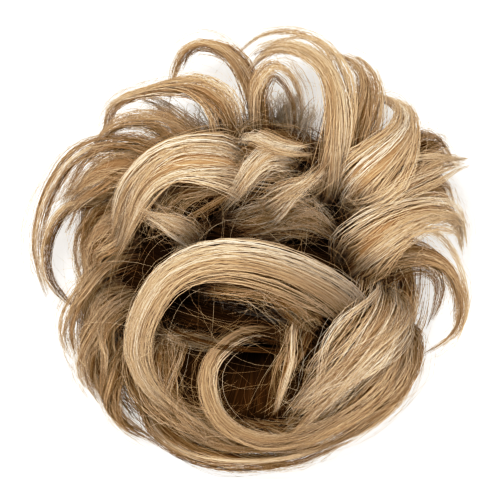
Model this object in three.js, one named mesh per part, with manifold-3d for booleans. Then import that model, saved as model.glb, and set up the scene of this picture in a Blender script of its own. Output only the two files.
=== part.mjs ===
// A top knot hairpiece: a tousled bun of curled hair locks, sewn round a stretchy band.
// It lies as it does on a table, band side down, and is seen from above.
// Millimetres, with +X to the right, +Y to the back and +Z up.

import * as THREE from "three";
import { mergeVertices } from "three/addons/utils/BufferGeometryUtils.js";
import Module from "manifold-3d";

const wasm = await Module();
wasm.setup();

// The bun as a whole
const bunRadius = 75; // middle of the bun to its outermost curls
const bunHeight = 62; // table to the top of the highest lock

// The ring of packed inner hair, which the wearer's own hair goes through
const ringRight = 1.5; // the ring's axis from the middle of the bun
const ringBack = -12.5;
const holeRadius = 18;
const innerHairWidth = 30; // hole to the outside of the inner hair
const innerHairHeight = 35;
const innerHairFlat = 3; // how far the ring is flattened where it lies
const stripCount = 12; // wound strips round the inner hair
const stripDepth = 1.6; // how deep the grooves between the strips are
const stripSegments = 3; // facets across a strip
const footTouch = 0.001; // below this height a point of the inner hair lies on the table
const ringSides = 16;
const roomSegments = 24; // of the plain ring that the locks are cut clear of

// The elastic band, seated in the side of the hole
const bandThickness = 4.5;
const bandHeight = 12; // table to the middle of the band
const bandProud = 1.2; // how far the band stands out of the inner hair
const bandSides = 8;
const bandSegments = 32;

// The locks
const lockWidth = 15;
const lockDepth = 7;
const clearance = 0.35; // between neighbours
const rootDepth = 0.4; // how deep a lock is sewn into the inner hair, as a share of the way to its core
const lockRoom = 1.6; // under the middle of a lock that lies on the inner hair
const lockSides = 6;
const sectionLength = 13; // between the sections of a lock of lockWidth: a narrower one curls tighter
const fewestSections = 5;

// The low locks round the outside
const skirtCount = 12;
const skirtSweep = 52; // degrees that a low lock runs round the ring
const skirtWidth = 1.1; // a low lock's share of lockWidth
const skirtDepth = 0.8; // and of lockDepth

// The locks that close the hollow over the hole
const hollowCount = 3;
const hollowWidth = 0.9; // such a lock's share of lockWidth
const hollowDepth = 0.6; // and of lockDepth
const hollowLean = -14; // degrees from straight across

const hairColour = 0xc7a877;
const innerHairColour = 0x8f6f45;
const bandColour = 0x9c7f58;

// A lock's half width and half depth along it, as shares of its own, from the root to the tip
const lockShape = [
  { along: 0, wide: 0.5, deep: 0.8 },
  { along: 0.2, wide: 0.8, deep: 1 },
  { along: 0.5, wide: 1, deep: 1 },
  { along: 0.8, wide: 0.92, deep: 0.8 },
  { along: 1, wide: 0.55, deep: 0.4 },
];

// A low lock's route round the outside of the inner hair: turn in shares of skirtSweep, and up in
// shares of innerHairHeight
const skirtShape = [
  { turn: 0, up: 0.55 },
  { turn: 0.25, up: 0.6 },
  { turn: 0.6, up: 0.4 },
  { turn: 1, up: 0.2 },
];

// A lock's route across the hole: across in shares of the ring's middle radius, and up in shares of
// innerHairHeight
const hollowShape = [
  { across: -1, up: 0.62 },
  { across: -0.6, up: 1.1 },
  { across: 0, up: 1.15 },
  { across: 0.6, up: 1.14 },
  { across: 1, up: 1.08 },
];

// The locks that show from above, the uppermost first. width and depth are shares of lockWidth and
// lockDepth, and fan is how wide the tip is against the width: the root is as much the other way. Each
// station of a route is right, back and up, in shares of bunRadius, bunRadius and bunHeight. The first
// station lies in the inner hair, where the lock is sewn.
const lockTable = [
  { name: "front_sweep", width: 0.9, depth: 1, fan: 0.62, route: [
    [0.45, -0.4, 0.5], [0.44, -0.25, 0.78], [0.31, -0.16, 0.9], [0.1, -0.07, 0.95], [-0.15, -0.04, 0.95],
    [-0.34, -0.11, 0.9], [-0.45, -0.25, 0.84], [-0.5, -0.42, 0.77], [-0.46, -0.57, 0.68],
    [-0.37, -0.67, 0.6], [-0.23, -0.75, 0.5],
  ] },
  { name: "left_bright_sweep", width: 1.1, depth: 0.9, fan: 0.5, route: [
    [0.03, 0.24, 0.5], [-0.08, 0.4, 0.78], [-0.2, 0.41, 0.84], [-0.34, 0.38, 0.86], [-0.46, 0.29, 0.82],
    [-0.53, 0.17, 0.74], [-0.57, 0.06, 0.66], [-0.6, -0.01, 0.6],
  ] },
  { name: "crown_fan_bright", width: 0.75, depth: 0.9, fan: 0.6, route: [
    [0.32, 0.16, 0.5], [0.38, 0.38, 0.82], [0.4, 0.62, 0.8], [0.35, 0.8, 0.7], [0.23, 0.9, 0.6],
    [0.11, 0.9, 0.52], [0.03, 0.84, 0.46],
  ] },
  { name: "right_fan_1", width: 1.1, depth: 0.9, fan: 0.5, route: [
    [0.4, 0.2, 0.5], [0.5, 0.34, 0.84], [0.62, 0.44, 0.82], [0.7, 0.55, 0.7], [0.69, 0.64, 0.6],
    [0.61, 0.68, 0.5],
  ] },
  { name: "right_fan_3", width: 0.9, depth: 0.9, fan: 0.6, route: [
    [0.42, 0.1, 0.44], [0.55, 0.22, 0.74], [0.7, 0.32, 0.72], [0.84, 0.38, 0.62], [0.94, 0.4, 0.5],
  ] },
  { name: "right_fan_5", width: 1, depth: 0.9, fan: 0.6, route: [
    [0.42, -0.12, 0.5], [0.55, 0.02, 0.8], [0.7, 0.14, 0.76], [0.84, 0.17, 0.64], [0.93, 0.14, 0.52],
    [0.96, 0.06, 0.42],
  ] },
  { name: "right_fan_2", width: 1.2, depth: 0.9, fan: 0.75, route: [
    [0.44, 0.2, 0.46], [0.6, 0.38, 0.64], [0.74, 0.44, 0.58], [0.85, 0.48, 0.48], [0.9, 0.44, 0.38],
  ] },
  { name: "right_fan_4", width: 1.1, depth: 0.9, fan: 0.7, route: [
    [0.46, 0.04, 0.5], [0.62, 0.2, 0.68], [0.77, 0.28, 0.62], [0.87, 0.28, 0.5], [0.92, 0.2, 0.4],
  ] },
  { name: "crown_fan_edge", width: 0.8, depth: 0.9, fan: 0.7, route: [
    [0.4, 0.22, 0.5], [0.46, 0.44, 0.68], [0.52, 0.62, 0.64], [0.53, 0.75, 0.56], [0.48, 0.84, 0.5],
    [0.4, 0.88, 0.44],
  ] },
  { name: "centre_tress", width: 0.45, depth: 0.6, fan: 0.8, route: [
    [-0.04, 0.36, 0.5], [0, 0.5, 0.74], [0.1, 0.46, 0.82], [0.22, 0.43, 0.86], [0.33, 0.43, 0.86],
  ] },
  { name: "centre_curl", width: 0.55, depth: 0.6, fan: 0.6, route: [
    [0.2, 0.34, 0.46], [0.16, 0.41, 0.72], [0.07, 0.41, 0.82], [0, 0.34, 0.84], [-0.05, 0.26, 0.8],
    [-0.1, 0.2, 0.74],
  ] },
  { name: "centre_cross", width: 0.55, depth: 0.7, fan: 0.8, route: [
    [0.06, 0.12, 0.5], [0.1, 0.2, 0.76], [0.19, 0.27, 0.84], [0.28, 0.32, 0.87], [0.35, 0.38, 0.87],
  ] },
  { name: "inner_left_sweep", width: 1, depth: 0.8, fan: 0.8, route: [
    [0.24, 0.34, 0.5], [0.14, 0.38, 0.7], [0, 0.36, 0.74], [-0.16, 0.31, 0.75], [-0.3, 0.24, 0.73],
    [-0.38, 0.12, 0.68],
  ] },
  { name: "left_tuck", width: 0.7, depth: 0.7, fan: 0.75, route: [
    [-0.25, -0.04, 0.5], [-0.26, 0.06, 0.7], [-0.36, 0.13, 0.8], [-0.46, 0.17, 0.8],
  ] },
  { name: "brow_tress", width: 0.8, depth: 0.8, fan: 0.8, route: [
    [-0.12, 0.04, 0.5], [0, 0.11, 0.68], [0.12, 0.14, 0.72], [0.26, 0.15, 0.72], [0.38, 0.08, 0.66],
  ] },
  { name: "upper_left_wave", width: 0.68, depth: 0.9, fan: 0.7, route: [
    [-0.08, 0.32, 0.5], [-0.07, 0.54, 0.62], [-0.12, 0.66, 0.68], [-0.22, 0.72, 0.66],
    [-0.34, 0.725, 0.6], [-0.46, 0.7, 0.54], [-0.56, 0.67, 0.48], [-0.62, 0.62, 0.42], [-0.63, 0.56, 0.38],
  ] },
  { name: "left_wave_high", width: 0.55, depth: 0.8, fan: 0.7, route: [
    [-0.2, 0.3, 0.5], [-0.25, 0.46, 0.6], [-0.34, 0.54, 0.58], [-0.45, 0.575, 0.54], [-0.56, 0.575, 0.48],
    [-0.64, 0.53, 0.42], [-0.68, 0.46, 0.36],
  ] },
  { name: "left_wave_cross", width: 0.8, depth: 0.6, fan: 0.9, route: [
    [-0.14, 0.3, 0.36], [-0.2, 0.44, 0.44], [-0.28, 0.54, 0.44], [-0.37, 0.62, 0.42], [-0.46, 0.66, 0.38],
  ] },
  { name: "left_fan_mid", width: 1.35, depth: 0.8, fan: 0.85, route: [
    [-0.28, 0.22, 0.5], [-0.44, 0.34, 0.62], [-0.6, 0.37, 0.56], [-0.74, 0.3, 0.48], [-0.82, 0.2, 0.4],
  ] },
  { name: "left_outer_wisp", width: 0.45, depth: 0.6, fan: 0.6, route: [
    [-0.24, 0.3, 0.44], [-0.42, 0.44, 0.5], [-0.57, 0.475, 0.46], [-0.7, 0.465, 0.42], [-0.81, 0.4, 0.38],
    [-0.89, 0.29, 0.34], [-0.95, 0.15, 0.3], [-0.97, 0, 0.26], [-0.94, -0.13, 0.22],
  ] },
  { name: "left_hook", width: 0.35, depth: 0.6, fan: 0.8, route: [
    [-0.36, 0.1, 0.5], [-0.6, 0.19, 0.5], [-0.79, 0.21, 0.42], [-0.88, 0.13, 0.38], [-0.925, 0, 0.34],
    [-0.91, -0.13, 0.3], [-0.82, -0.24, 0.25],
  ] },
  { name: "crown_loop_outer", width: 0.7, depth: 0.8, fan: 0.8, route: [
    [0.3, 0.24, 0.46], [0.39, 0.53, 0.56], [0.42, 0.73, 0.56], [0.36, 0.87, 0.5], [0.23, 0.94, 0.46],
    [0.06, 0.94, 0.44], [-0.04, 0.87, 0.42],
  ] },
  { name: "crown_loop_inner", width: 0.45, depth: 0.7, fan: 0.8, route: [
    [0.06, 0.36, 0.5], [0.03, 0.6, 0.6], [0.03, 0.74, 0.64], [0.1, 0.83, 0.6], [0.18, 0.79, 0.55],
    [0.23, 0.67, 0.49], [0.22, 0.54, 0.44],
  ] },
  { name: "crest_curl", width: 0.6, depth: 0.7, fan: 1.15, route: [
    [0.04, 0.36, 0.4], [0.05, 0.54, 0.42], [0.01, 0.7, 0.44], [-0.045, 0.82, 0.46], [-0.12, 0.9, 0.47],
    [-0.2, 0.93, 0.46], [-0.27, 0.91, 0.43], [-0.31, 0.85, 0.4], [-0.34, 0.76, 0.36],
  ] },
  { name: "crown_under_lock", width: 1.2, depth: 0.7, fan: 0.9, route: [
    [0.12, 0.38, 0.32], [0.15, 0.5, 0.34], [0.17, 0.6, 0.32], [0.17, 0.7, 0.28],
  ] },
  { name: "well_loop", width: 0.42, depth: 0.9, fan: 1.45, route: [
    [0.24, -0.44, 0.42], [0.08, -0.37, 0.64], [-0.02, -0.37, 0.7], [-0.12, -0.43, 0.74],
    [-0.175, -0.5, 0.75], [-0.19, -0.59, 0.74], [-0.17, -0.68, 0.72], [-0.12, -0.76, 0.68],
    [-0.03, -0.82, 0.62], [0.08, -0.85, 0.56], [0.2, -0.84, 0.48], [0.32, -0.8, 0.4],
  ] },
  { name: "front_under_sweep", width: 0.9, depth: 0.8, fan: 0.8, route: [
    [-0.24, -0.12, 0.5], [-0.12, -0.1, 0.78], [0.02, -0.14, 0.82], [0.16, -0.23, 0.82], [0.3, -0.34, 0.76],
  ] },
  { name: "well_tongue", width: 0.4, depth: 0.6, fan: 0.6, route: [
    [0.34, -0.26, 0.5], [0.22, -0.34, 0.7], [0.19, -0.46, 0.74], [0.15, -0.58, 0.72], [0.125, -0.7, 0.66],
  ] },
  { name: "well_tuft", width: 0.35, depth: 0.6, fan: 1.1, route: [
    [-0.42, -0.3, 0.5], [-0.36, -0.37, 0.6], [-0.27, -0.4, 0.62], [-0.18, -0.42, 0.62],
    [-0.11, -0.44, 0.6],
  ] },
  { name: "front_right_fan_1", width: 1.2, depth: 1, fan: 0.9, route: [
    [0.66, -0.16, 0.4], [0.63, -0.26, 0.66], [0.5, -0.44, 0.76], [0.36, -0.6, 0.7], [0.22, -0.74, 0.6],
  ] },
  { name: "front_right_fan_2", width: 1.1, depth: 0.9, fan: 0.9, route: [
    [0.6, -0.24, 0.36], [0.68, -0.38, 0.54], [0.62, -0.56, 0.58], [0.48, -0.7, 0.54], [0.3, -0.82, 0.44],
    [0.12, -0.88, 0.38],
  ] },
  { name: "right_loop", width: 0.6, depth: 0.8, fan: 0.85, route: [
    [0.42, -0.16, 0.5], [0.52, -0.09, 0.66], [0.64, -0.01, 0.66], [0.77, 0, 0.58], [0.88, -0.05, 0.5],
    [0.95, -0.16, 0.42], [0.966, -0.28, 0.36], [0.93, -0.38, 0.3], [0.82, -0.46, 0.26],
  ] },
  { name: "right_loop_inner", width: 0.35, depth: 0.6, fan: 0.8, route: [
    [0.48, -0.15, 0.46], [0.66, -0.09, 0.52], [0.79, -0.06, 0.46], [0.86, -0.11, 0.4], [0.87, -0.2, 0.34],
    [0.84, -0.29, 0.28],
  ] },
  { name: "front_right_hem", width: 1, depth: 0.9, fan: 0.9, route: [
    [0.56, -0.3, 0.4], [0.72, -0.4, 0.44], [0.7, -0.6, 0.4], [0.54, -0.76, 0.35], [0.34, -0.87, 0.28],
  ] },
  { name: "left_lower_sweep", width: 1, depth: 0.8, fan: 0.9, route: [
    [-0.28, -0.3, 0.5], [-0.4, -0.46, 0.62], [-0.38, -0.62, 0.56], [-0.25, -0.74, 0.48],
    [-0.08, -0.82, 0.4],
  ] },
  { name: "left_lower_loop", width: 0.6, depth: 0.7, fan: 0.8, route: [
    [-0.44, -0.2, 0.46], [-0.57, -0.25, 0.54], [-0.67, -0.34, 0.48], [-0.735, -0.46, 0.4],
    [-0.74, -0.58, 0.32], [-0.68, -0.68, 0.24],
  ] },
  { name: "left_side_panel", width: 1, depth: 0.8, fan: 0.9, route: [
    [-0.45, 0.04, 0.48], [-0.6, 0.1, 0.56], [-0.7, 0.02, 0.5], [-0.71, -0.12, 0.42], [-0.63, -0.2, 0.36],
  ] },
  { name: "left_side_curtain", width: 0.6, depth: 0.8, fan: 0.8, route: [
    [-0.42, -0.02, 0.48], [-0.57, -0.05, 0.54], [-0.69, -0.12, 0.48], [-0.77, -0.25, 0.4],
    [-0.8, -0.4, 0.32], [-0.76, -0.53, 0.24],
  ] },
  { name: "left_lower_drop", width: 0.7, depth: 0.8, fan: 0.9, route: [
    [-0.46, -0.34, 0.42], [-0.58, -0.5, 0.46], [-0.61, -0.66, 0.36], [-0.57, -0.77, 0.26],
    [-0.46, -0.85, 0.18],
  ] },
  { name: "left_under_fan_1", width: 1.5, depth: 0.8, fan: 1, route: [
    [-0.4, -0.16, 0.4], [-0.6, -0.22, 0.4], [-0.68, -0.38, 0.34], [-0.68, -0.56, 0.26],
    [-0.58, -0.7, 0.18],
  ] },
  { name: "left_under_fan_2", width: 1.3, depth: 0.8, fan: 1, route: [
    [-0.36, 0.12, 0.42], [-0.55, 0.24, 0.44], [-0.67, 0.18, 0.38], [-0.71, 0.02, 0.3], [-0.7, -0.16, 0.22],
  ] },
  { name: "front_hem", width: 1.05, depth: 0.9, fan: 0.8, route: [
    [-0.4, -0.56, 0.3], [-0.43, -0.73, 0.34], [-0.3, -0.865, 0.34], [-0.06, -0.945, 0.32],
    [0.2, -0.945, 0.27], [0.42, -0.87, 0.22],
  ] },
];

// A closed solid from a geometry, and back.
function solidFrom(geometry) {
  const bare = new THREE.BufferGeometry();
  bare.setAttribute("position", geometry.getAttribute("position"));
  bare.setIndex(geometry.getIndex());
  const merged = mergeVertices(bare);
  return new wasm.Manifold(
    new wasm.Mesh({
      numProp: 3,
      vertProperties: merged.getAttribute("position").array,
      triVerts: new Uint32Array(merged.getIndex().array),
    }),
  );
}

function geometryFrom(solid) {
  const { vertProperties, triVerts } = solid.getMesh();
  const geometry = new THREE.BufferGeometry();
  geometry.setAttribute("position", new THREE.BufferAttribute(vertProperties, 3));
  geometry.setIndex(new THREE.BufferAttribute(triVerts, 1));
  geometry.computeVertexNormals();
  return geometry;
}

// The inner hair's section: a rounded oblong that stands partly below the table, and is cut flat there.
const ringAxis = new THREE.Vector3(ringRight, ringBack, 0);
const ringMiddle = holeRadius + innerHairWidth / 2;
const ringOuter = holeRadius + innerHairWidth;
const sectionHalfWidth = innerHairWidth / 2;
const sectionHalfHeight = (innerHairHeight + innerHairFlat) / 2;
const sectionMiddle = innerHairHeight - sectionHalfHeight;
const boxiness = 0.8; // 1 is an ellipse, and less is squarer

function roundedShare(value) {
  return Math.sign(value) * Math.abs(value) ** boxiness;
}

// A ring of the inner hair's section, grown by extra and cut flat below.
function ringGeometry(extra, segments) {
  const profile = Array.from({ length: ringSides + 1 }, (_, i) => {
    const turn = ((i % ringSides) / ringSides - 0.25) * 2 * Math.PI;
    const up = sectionMiddle + (sectionHalfHeight + extra) * roundedShare(Math.sin(turn));
    return new THREE.Vector2(
      ringMiddle + (sectionHalfWidth + extra) * roundedShare(Math.cos(turn)),
      Math.max(up, -extra),
    );
  });
  return new THREE.LatheGeometry(profile, segments).rotateX(Math.PI / 2);
}

// The inner hair: the ring with strips of hair wound round it, and grooves between them.
function innerHairGeometry() {
  const geometry = ringGeometry(0, stripCount * stripSegments);
  const corner = geometry.getAttribute("position");
  const core = new THREE.Vector3();
  const point = new THREE.Vector3();
  for (let i = 0; i < corner.count; i++) {
    const column = Math.floor(i / (ringSides + 1));
    point.fromBufferAttribute(corner, i);
    if (column % stripSegments !== 0 || point.z < footTouch) continue;
    core.copy(point).setZ(0).setLength(ringMiddle).setZ(sectionMiddle);
    point.addScaledVector(core.sub(point).normalize(), stripDepth);
    corner.setXYZ(i, point.x, point.y, point.z);
  }
  return geometry.translate(ringRight, ringBack, 0);
}

// A plain ring that holds the inner hair with the clearance all round, to cut the locks with.
function innerHairRoom() {
  const bulge = ringOuter * (1 - Math.cos(Math.PI / roomSegments));
  return ringGeometry(clearance + bulge, roomSegments).translate(ringRight, ringBack, 0);
}

// Moves a point away from the ring's core, or towards it, until its share of the way from there to the
// inner hair's surface, grown by extra, is no less than least and no more than most.
function holdAtShare(point, extra, least, most) {
  const core = point.clone().sub(ringAxis).setZ(0).setLength(ringMiddle).add(ringAxis);
  core.setZ(sectionMiddle);
  const away = point.clone().sub(core);
  const side = Math.hypot(away.x, away.y) / (sectionHalfWidth + extra);
  const up = Math.abs(away.z) / (sectionHalfHeight + extra);
  const share = (side ** (2 / boxiness) + up ** (2 / boxiness)) ** (boxiness / 2);
  return core.addScaledVector(away, THREE.MathUtils.clamp(share, least, most) / share);
}

// The elastic band, a plain round ring.
const bandRadius = holeRadius + bandThickness / 2 - bandProud;

function bandGeometry(extra, segments) {
  return new THREE.TorusGeometry(bandRadius, bandThickness / 2 + extra, bandSides, segments)
    .translate(ringRight, ringBack, bandHeight);
}

// A lock's route through its points: the first is sewn into the inner hair, and the others lie on it
// or farther out.
function laidRoute(points, depth) {
  const lift = (depth * lockDepth) / 2 + lockRoom;
  return points.map((point, i) => {
    if (i === 0) return holdAtShare(point, 0, 0, 1 - rootDepth);
    return holdAtShare(point, lift, 1, Infinity);
  });
}

// A lock of the table.
function tableLock({ name, width, depth, fan, route }) {
  const points = route.map(
    ([right, back, up]) => new THREE.Vector3(right * bunRadius, back * bunRadius, up * bunHeight),
  );
  return { name, width, depth, fan, points: laidRoute(points, depth) };
}

// A lock laid across the hole, from the inner hair on one side to that on the other.
function hollowLock(index) {
  const pitch = (2 * holeRadius) / hollowCount;
  const back = (index - (hollowCount - 1) / 2) * pitch;
  const lean = THREE.MathUtils.degToRad(hollowLean);
  const points = hollowShape.map(({ across, up }) =>
    new THREE.Vector3(across * ringMiddle, back, up * innerHairHeight)
      .applyAxisAngle(new THREE.Vector3(0, 0, 1), lean)
      .add(ringAxis),
  );
  return {
    name: `hollow_lock_${index + 1}`,
    width: hollowWidth,
    depth: hollowDepth,
    fan: 1,
    points: laidRoute(points, hollowDepth),
  };
}

// A low lock, which leaves the outside of the inner hair and runs round it to near the table.
function skirtLock(index) {
  const start = (index / skirtCount) * 2 * Math.PI;
  const points = skirtShape.map(({ turn, up }) => {
    const angle = start + THREE.MathUtils.degToRad(turn * skirtSweep);
    return new THREE.Vector3(Math.cos(angle), Math.sin(angle), 0)
      .multiplyScalar(ringOuter)
      .add(ringAxis)
      .setZ(up * innerHairHeight);
  });
  return {
    name: `skirt_lock_${index + 1}`,
    width: skirtWidth,
    depth: skirtDepth,
    fan: 1,
    points: laidRoute(points, skirtDepth),
  };
}

const locks = [
  ...lockTable.map(tableLock),
  ...Array.from({ length: hollowCount }, (_, i) => hollowLock(i)),
  ...Array.from({ length: skirtCount }, (_, i) => skirtLock(i)),
];

// The value of a column of lockShape, at a share of the lock's length.
function shapeAt(along, column) {
  const next = Math.max(1, lockShape.findIndex((row) => row.along >= along));
  const [a, b] = [lockShape[next - 1], lockShape[next]];
  return THREE.MathUtils.mapLinear(along, a.along, b.along, a[column], b[column]);
}

// Points, tangents and depth directions along a lock. Halfway, its depth points away from the ring's
// core, and from there it turns as little as it can.
function layFrames(points, sections) {
  const curve = new THREE.CatmullRomCurve3(points);
  const frames = Array.from({ length: sections + 1 }, (_, i) => ({
    point: curve.getPointAt(i / sections),
    tangent: curve.getTangentAt(i / sections),
  }));
  const half = Math.floor(sections / 2);
  const core = holdAtShare(frames[half].point, 0, 0, 0);
  frames[half].depth = frames[half].point.clone().sub(core)
    .projectOnPlane(frames[half].tangent).normalize();
  const turn = new THREE.Quaternion();
  const carry = (from, to) => {
    turn.setFromUnitVectors(from.tangent, to.tangent);
    to.depth = from.depth.clone().applyQuaternion(turn);
  };
  for (let i = half; i < sections; i++) carry(frames[i], frames[i + 1]);
  for (let i = half; i > 0; i--) carry(frames[i], frames[i - 1]);
  return frames;
}

// A lock: a closed cylinder bent along the lock's route. extra makes it that much thicker all over.
function lockGeometry({ points, width, depth, fan }, extra) {
  const length = new THREE.CatmullRomCurve3(points).getLength();
  const step = sectionLength * Math.sqrt(width);
  const sections = Math.round(Math.max(fewestSections, length / step));
  const frames = layFrames(points, sections);
  frames[0].point.addScaledVector(frames[0].tangent, -extra);
  frames[sections].point.addScaledVector(frames[sections].tangent, extra);
  const geometry = new THREE.CylinderGeometry(1, 1, 1, lockSides, sections, false, Math.PI / 2);
  const corner = geometry.getAttribute("position");
  const across = new THREE.Vector3();
  const point = new THREE.Vector3();
  for (let i = 0; i < corner.count; i++) {
    const along = corner.getY(i) + 0.5;
    const frame = frames[Math.round(along * sections)];
    const fanned = width * THREE.MathUtils.lerp(2 - fan, fan, along);
    const halfWidth = (shapeAt(along, "wide") * fanned * lockWidth) / 2 + extra;
    const halfDepth = (shapeAt(along, "deep") * depth * lockDepth) / 2 + extra;
    across.crossVectors(frame.tangent, frame.depth);
    point.copy(frame.point)
      .addScaledVector(across, corner.getX(i) * halfWidth)
      .addScaledVector(frame.depth, corner.getZ(i) * halfDepth);
    corner.setXYZ(i, point.x, point.y, point.z);
  }
  return geometry;
}

// The body of a solid that lies nearest to a point.
function bodyNearest(solid, point) {
  const away = (body) => {
    const { vertProperties } = body.getMesh();
    const corner = new THREE.Vector3();
    let least = Infinity;
    for (let i = 0; i < vertProperties.length; i += 3)
      least = Math.min(least, corner.fromArray(vertProperties, i).distanceTo(point));
    return least;
  };
  return solid.decompose().sort((a, b) => away(a) - away(b))[0];
}

function makeMesh(name, geometry, colour, roughness) {
  const material = new THREE.MeshStandardMaterial({ color: colour, roughness, metalness: 0 });
  const mesh = new THREE.Mesh(geometry, material);
  mesh.name = name;
  return mesh;
}

// Each lock is cut clear of the inner hair and of the locks that pass over it.
function makeLocks() {
  const room = solidFrom(innerHairRoom());
  const above = [];
  return locks.map((lock) => {
    let solid = solidFrom(lockGeometry(lock, 0)).subtract(room);
    for (const other of above) solid = solid.subtract(other);
    above.push(solidFrom(lockGeometry(lock, clearance)));
    const body = bodyNearest(solid, lock.points[0]);
    return makeMesh(lock.name, geometryFrom(body), hairColour, 0.45);
  });
}

const hairpiece = new THREE.Group();
const groove = solidFrom(bandGeometry(clearance, stripCount * stripSegments));
const innerHair = solidFrom(innerHairGeometry()).subtract(groove);
hairpiece.add(
  makeMesh("elastic_band", bandGeometry(0, bandSegments), bandColour, 0.8),
  makeMesh("inner_hair", geometryFrom(innerHair), innerHairColour, 0.6),
  ...makeLocks(),
);

// The origin is the middle of the bun's base.
const box = new THREE.Box3().setFromObject(hairpiece, true);
const middle = box.getCenter(new THREE.Vector3());
hairpiece.position.set(-middle.x, -middle.y, -box.min.z);

export default hairpiece;
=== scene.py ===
"""Dresses a top knot hairpiece: curled locks combed from single strands, sewn round a ring of packed hair.

The tables hold the maker's sizes in millimetres or in shares of the bun, and every mesh is made in metres.
"""

import logging
import math
from dataclasses import dataclass, field
from enum import Enum

import bmesh
import bpy
import numpy as np
from mathutils import Matrix, Vector


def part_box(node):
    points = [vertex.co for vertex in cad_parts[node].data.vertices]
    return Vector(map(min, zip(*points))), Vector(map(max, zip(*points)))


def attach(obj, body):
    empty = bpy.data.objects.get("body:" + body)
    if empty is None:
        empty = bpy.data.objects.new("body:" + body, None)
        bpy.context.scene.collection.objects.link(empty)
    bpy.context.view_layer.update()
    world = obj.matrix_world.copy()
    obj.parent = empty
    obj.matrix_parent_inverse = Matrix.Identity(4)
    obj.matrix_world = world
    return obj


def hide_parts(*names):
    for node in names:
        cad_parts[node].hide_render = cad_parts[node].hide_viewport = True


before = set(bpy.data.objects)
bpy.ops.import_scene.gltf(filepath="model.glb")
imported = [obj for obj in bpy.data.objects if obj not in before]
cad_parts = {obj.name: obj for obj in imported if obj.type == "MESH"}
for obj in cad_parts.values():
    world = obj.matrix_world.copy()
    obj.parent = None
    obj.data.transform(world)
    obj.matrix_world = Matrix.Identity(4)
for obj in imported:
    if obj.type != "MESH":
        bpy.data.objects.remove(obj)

Array = np.ndarray
Colour = tuple[float, float, float]
Finishes = dict[str, tuple[bpy.types.Material, ...]]

LOG = logging.getLogger("hairpiece")
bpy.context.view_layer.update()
MM = 0.001

# The bun, as the source of its solids measures it
BUN_RADIUS = 75.0
BUN_HEIGHT = 62.0
HOLE_RADIUS = 18.0
INNER_WIDTH = 30.0
INNER_HEIGHT = 35.0
INNER_FLAT = 3.0
BOXINESS = 0.8
RING_MIDDLE = HOLE_RADIUS + INNER_WIDTH / 2
RING_OUTER = HOLE_RADIUS + INNER_WIDTH
HALF_WIDTH = INNER_WIDTH / 2
HALF_HEIGHT = (INNER_HEIGHT + INNER_FLAT) / 2
SECTION_MIDDLE = INNER_HEIGHT - HALF_HEIGHT
RING_RIGHT = 1.5
RING_BACK = -12.5
BAND_HEIGHT = 12.0
BAND_THICKNESS = 4.5
BAND_REVEAL = 1.2
BAND_RADIUS = HOLE_RADIUS + BAND_THICKNESS / 2 - BAND_REVEAL
LOCK_WIDTH = 15.0
LOCK_DEPTH = 7.0
ROOT_DEPTH = 0.4
LOCK_ROOM = 1.6
FLOOR_GAP = 0.35
UV_NAME = "OFBake"
GOLDEN_ANGLE = 2.39996
SPAN_SAMPLES = 24
BEND_SPAN = 4
WANDER_PACE = (0.35, 0.75)
DOME_DROP = 0.72
DOME_POWER = 2.4
# Painted shade: hair is darkened by how deep it lies under the bun's outer form, from this depth and over
# this range, in millimetres
HOLLOW_SHADE_FROM = 5.0
HOLLOW_SHADE_RANGE = 22.0

# How much of the painted shade of the hollows is left, by the share of the bun's radius
HOLLOW_SHADE_INSIDE = ((0.47, 1.0), (0.75, 0.18))

# A direction that no strand follows, and the part of its column in the map that a strand takes
ASLANT = np.array([0.31, 0.17, 0.94])
COLUMN_START = 0.12
COLUMN_WIDTH = 0.76

# A lock's half width and half depth along it, as shares of its own: along, wide, deep
LOCK_SHAPE = np.array([
    [0.0, 0.5, 0.8],
    [0.2, 0.8, 1.0],
    [0.5, 1.0, 1.0],
    [0.8, 0.92, 0.8],
    [1.0, 0.6, 0.45],
    [1.2, 0.45, 0.3],
])


def ring_axis() -> Array:
    """Returns the ring's axis on the floor, in millimetres, from the band's solid."""
    low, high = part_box("elastic_band")
    return np.array([(low[0] + high[0]) / 2, (low[1] + high[1]) / 2, 0.0]) / MM


RING_AXIS = ring_axis()
BUN_MIDDLE = RING_AXIS - np.array([RING_RIGHT, RING_BACK, 0.0])


class Fall(Enum):
    """How a lock is combed and how it falls."""

    FULL = "full"
    LOOSE = "loose"
    TANGLED = "tangled"
    WISP = "wisp"
    HOLLOW = "hollow"
    LOW = "low"


@dataclass(frozen=True)
class Combing:
    """What a fall means for the strands.

    Attributes:
        strands: How many strands a lock of width 1 has.
        wisps: How many wisps they are gathered in.
        radius: A strand's radius, in millimetres.
        core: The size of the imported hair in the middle, as a share of the lock. 0 for none.
        spread: How far apart the wisps lie, as a share of the lock's half width.
        wave: How much a wisp sways, as a share of the lock's half width.
        stray: The share of strands that leave their wisp.
        pace: The distance between a strand's points, in millimetres.
        mix: How much the tone differs from strand to strand.
        frizz: How often short hairs stand off the lock.
        upward: How far the wisps are drawn to the lock's outer face.
    """

    strands: int
    wisps: float
    radius: float
    core: float
    spread: float
    wave: float
    stray: float
    pace: float
    mix: float
    frizz: float
    upward: float = 0.0


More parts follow.
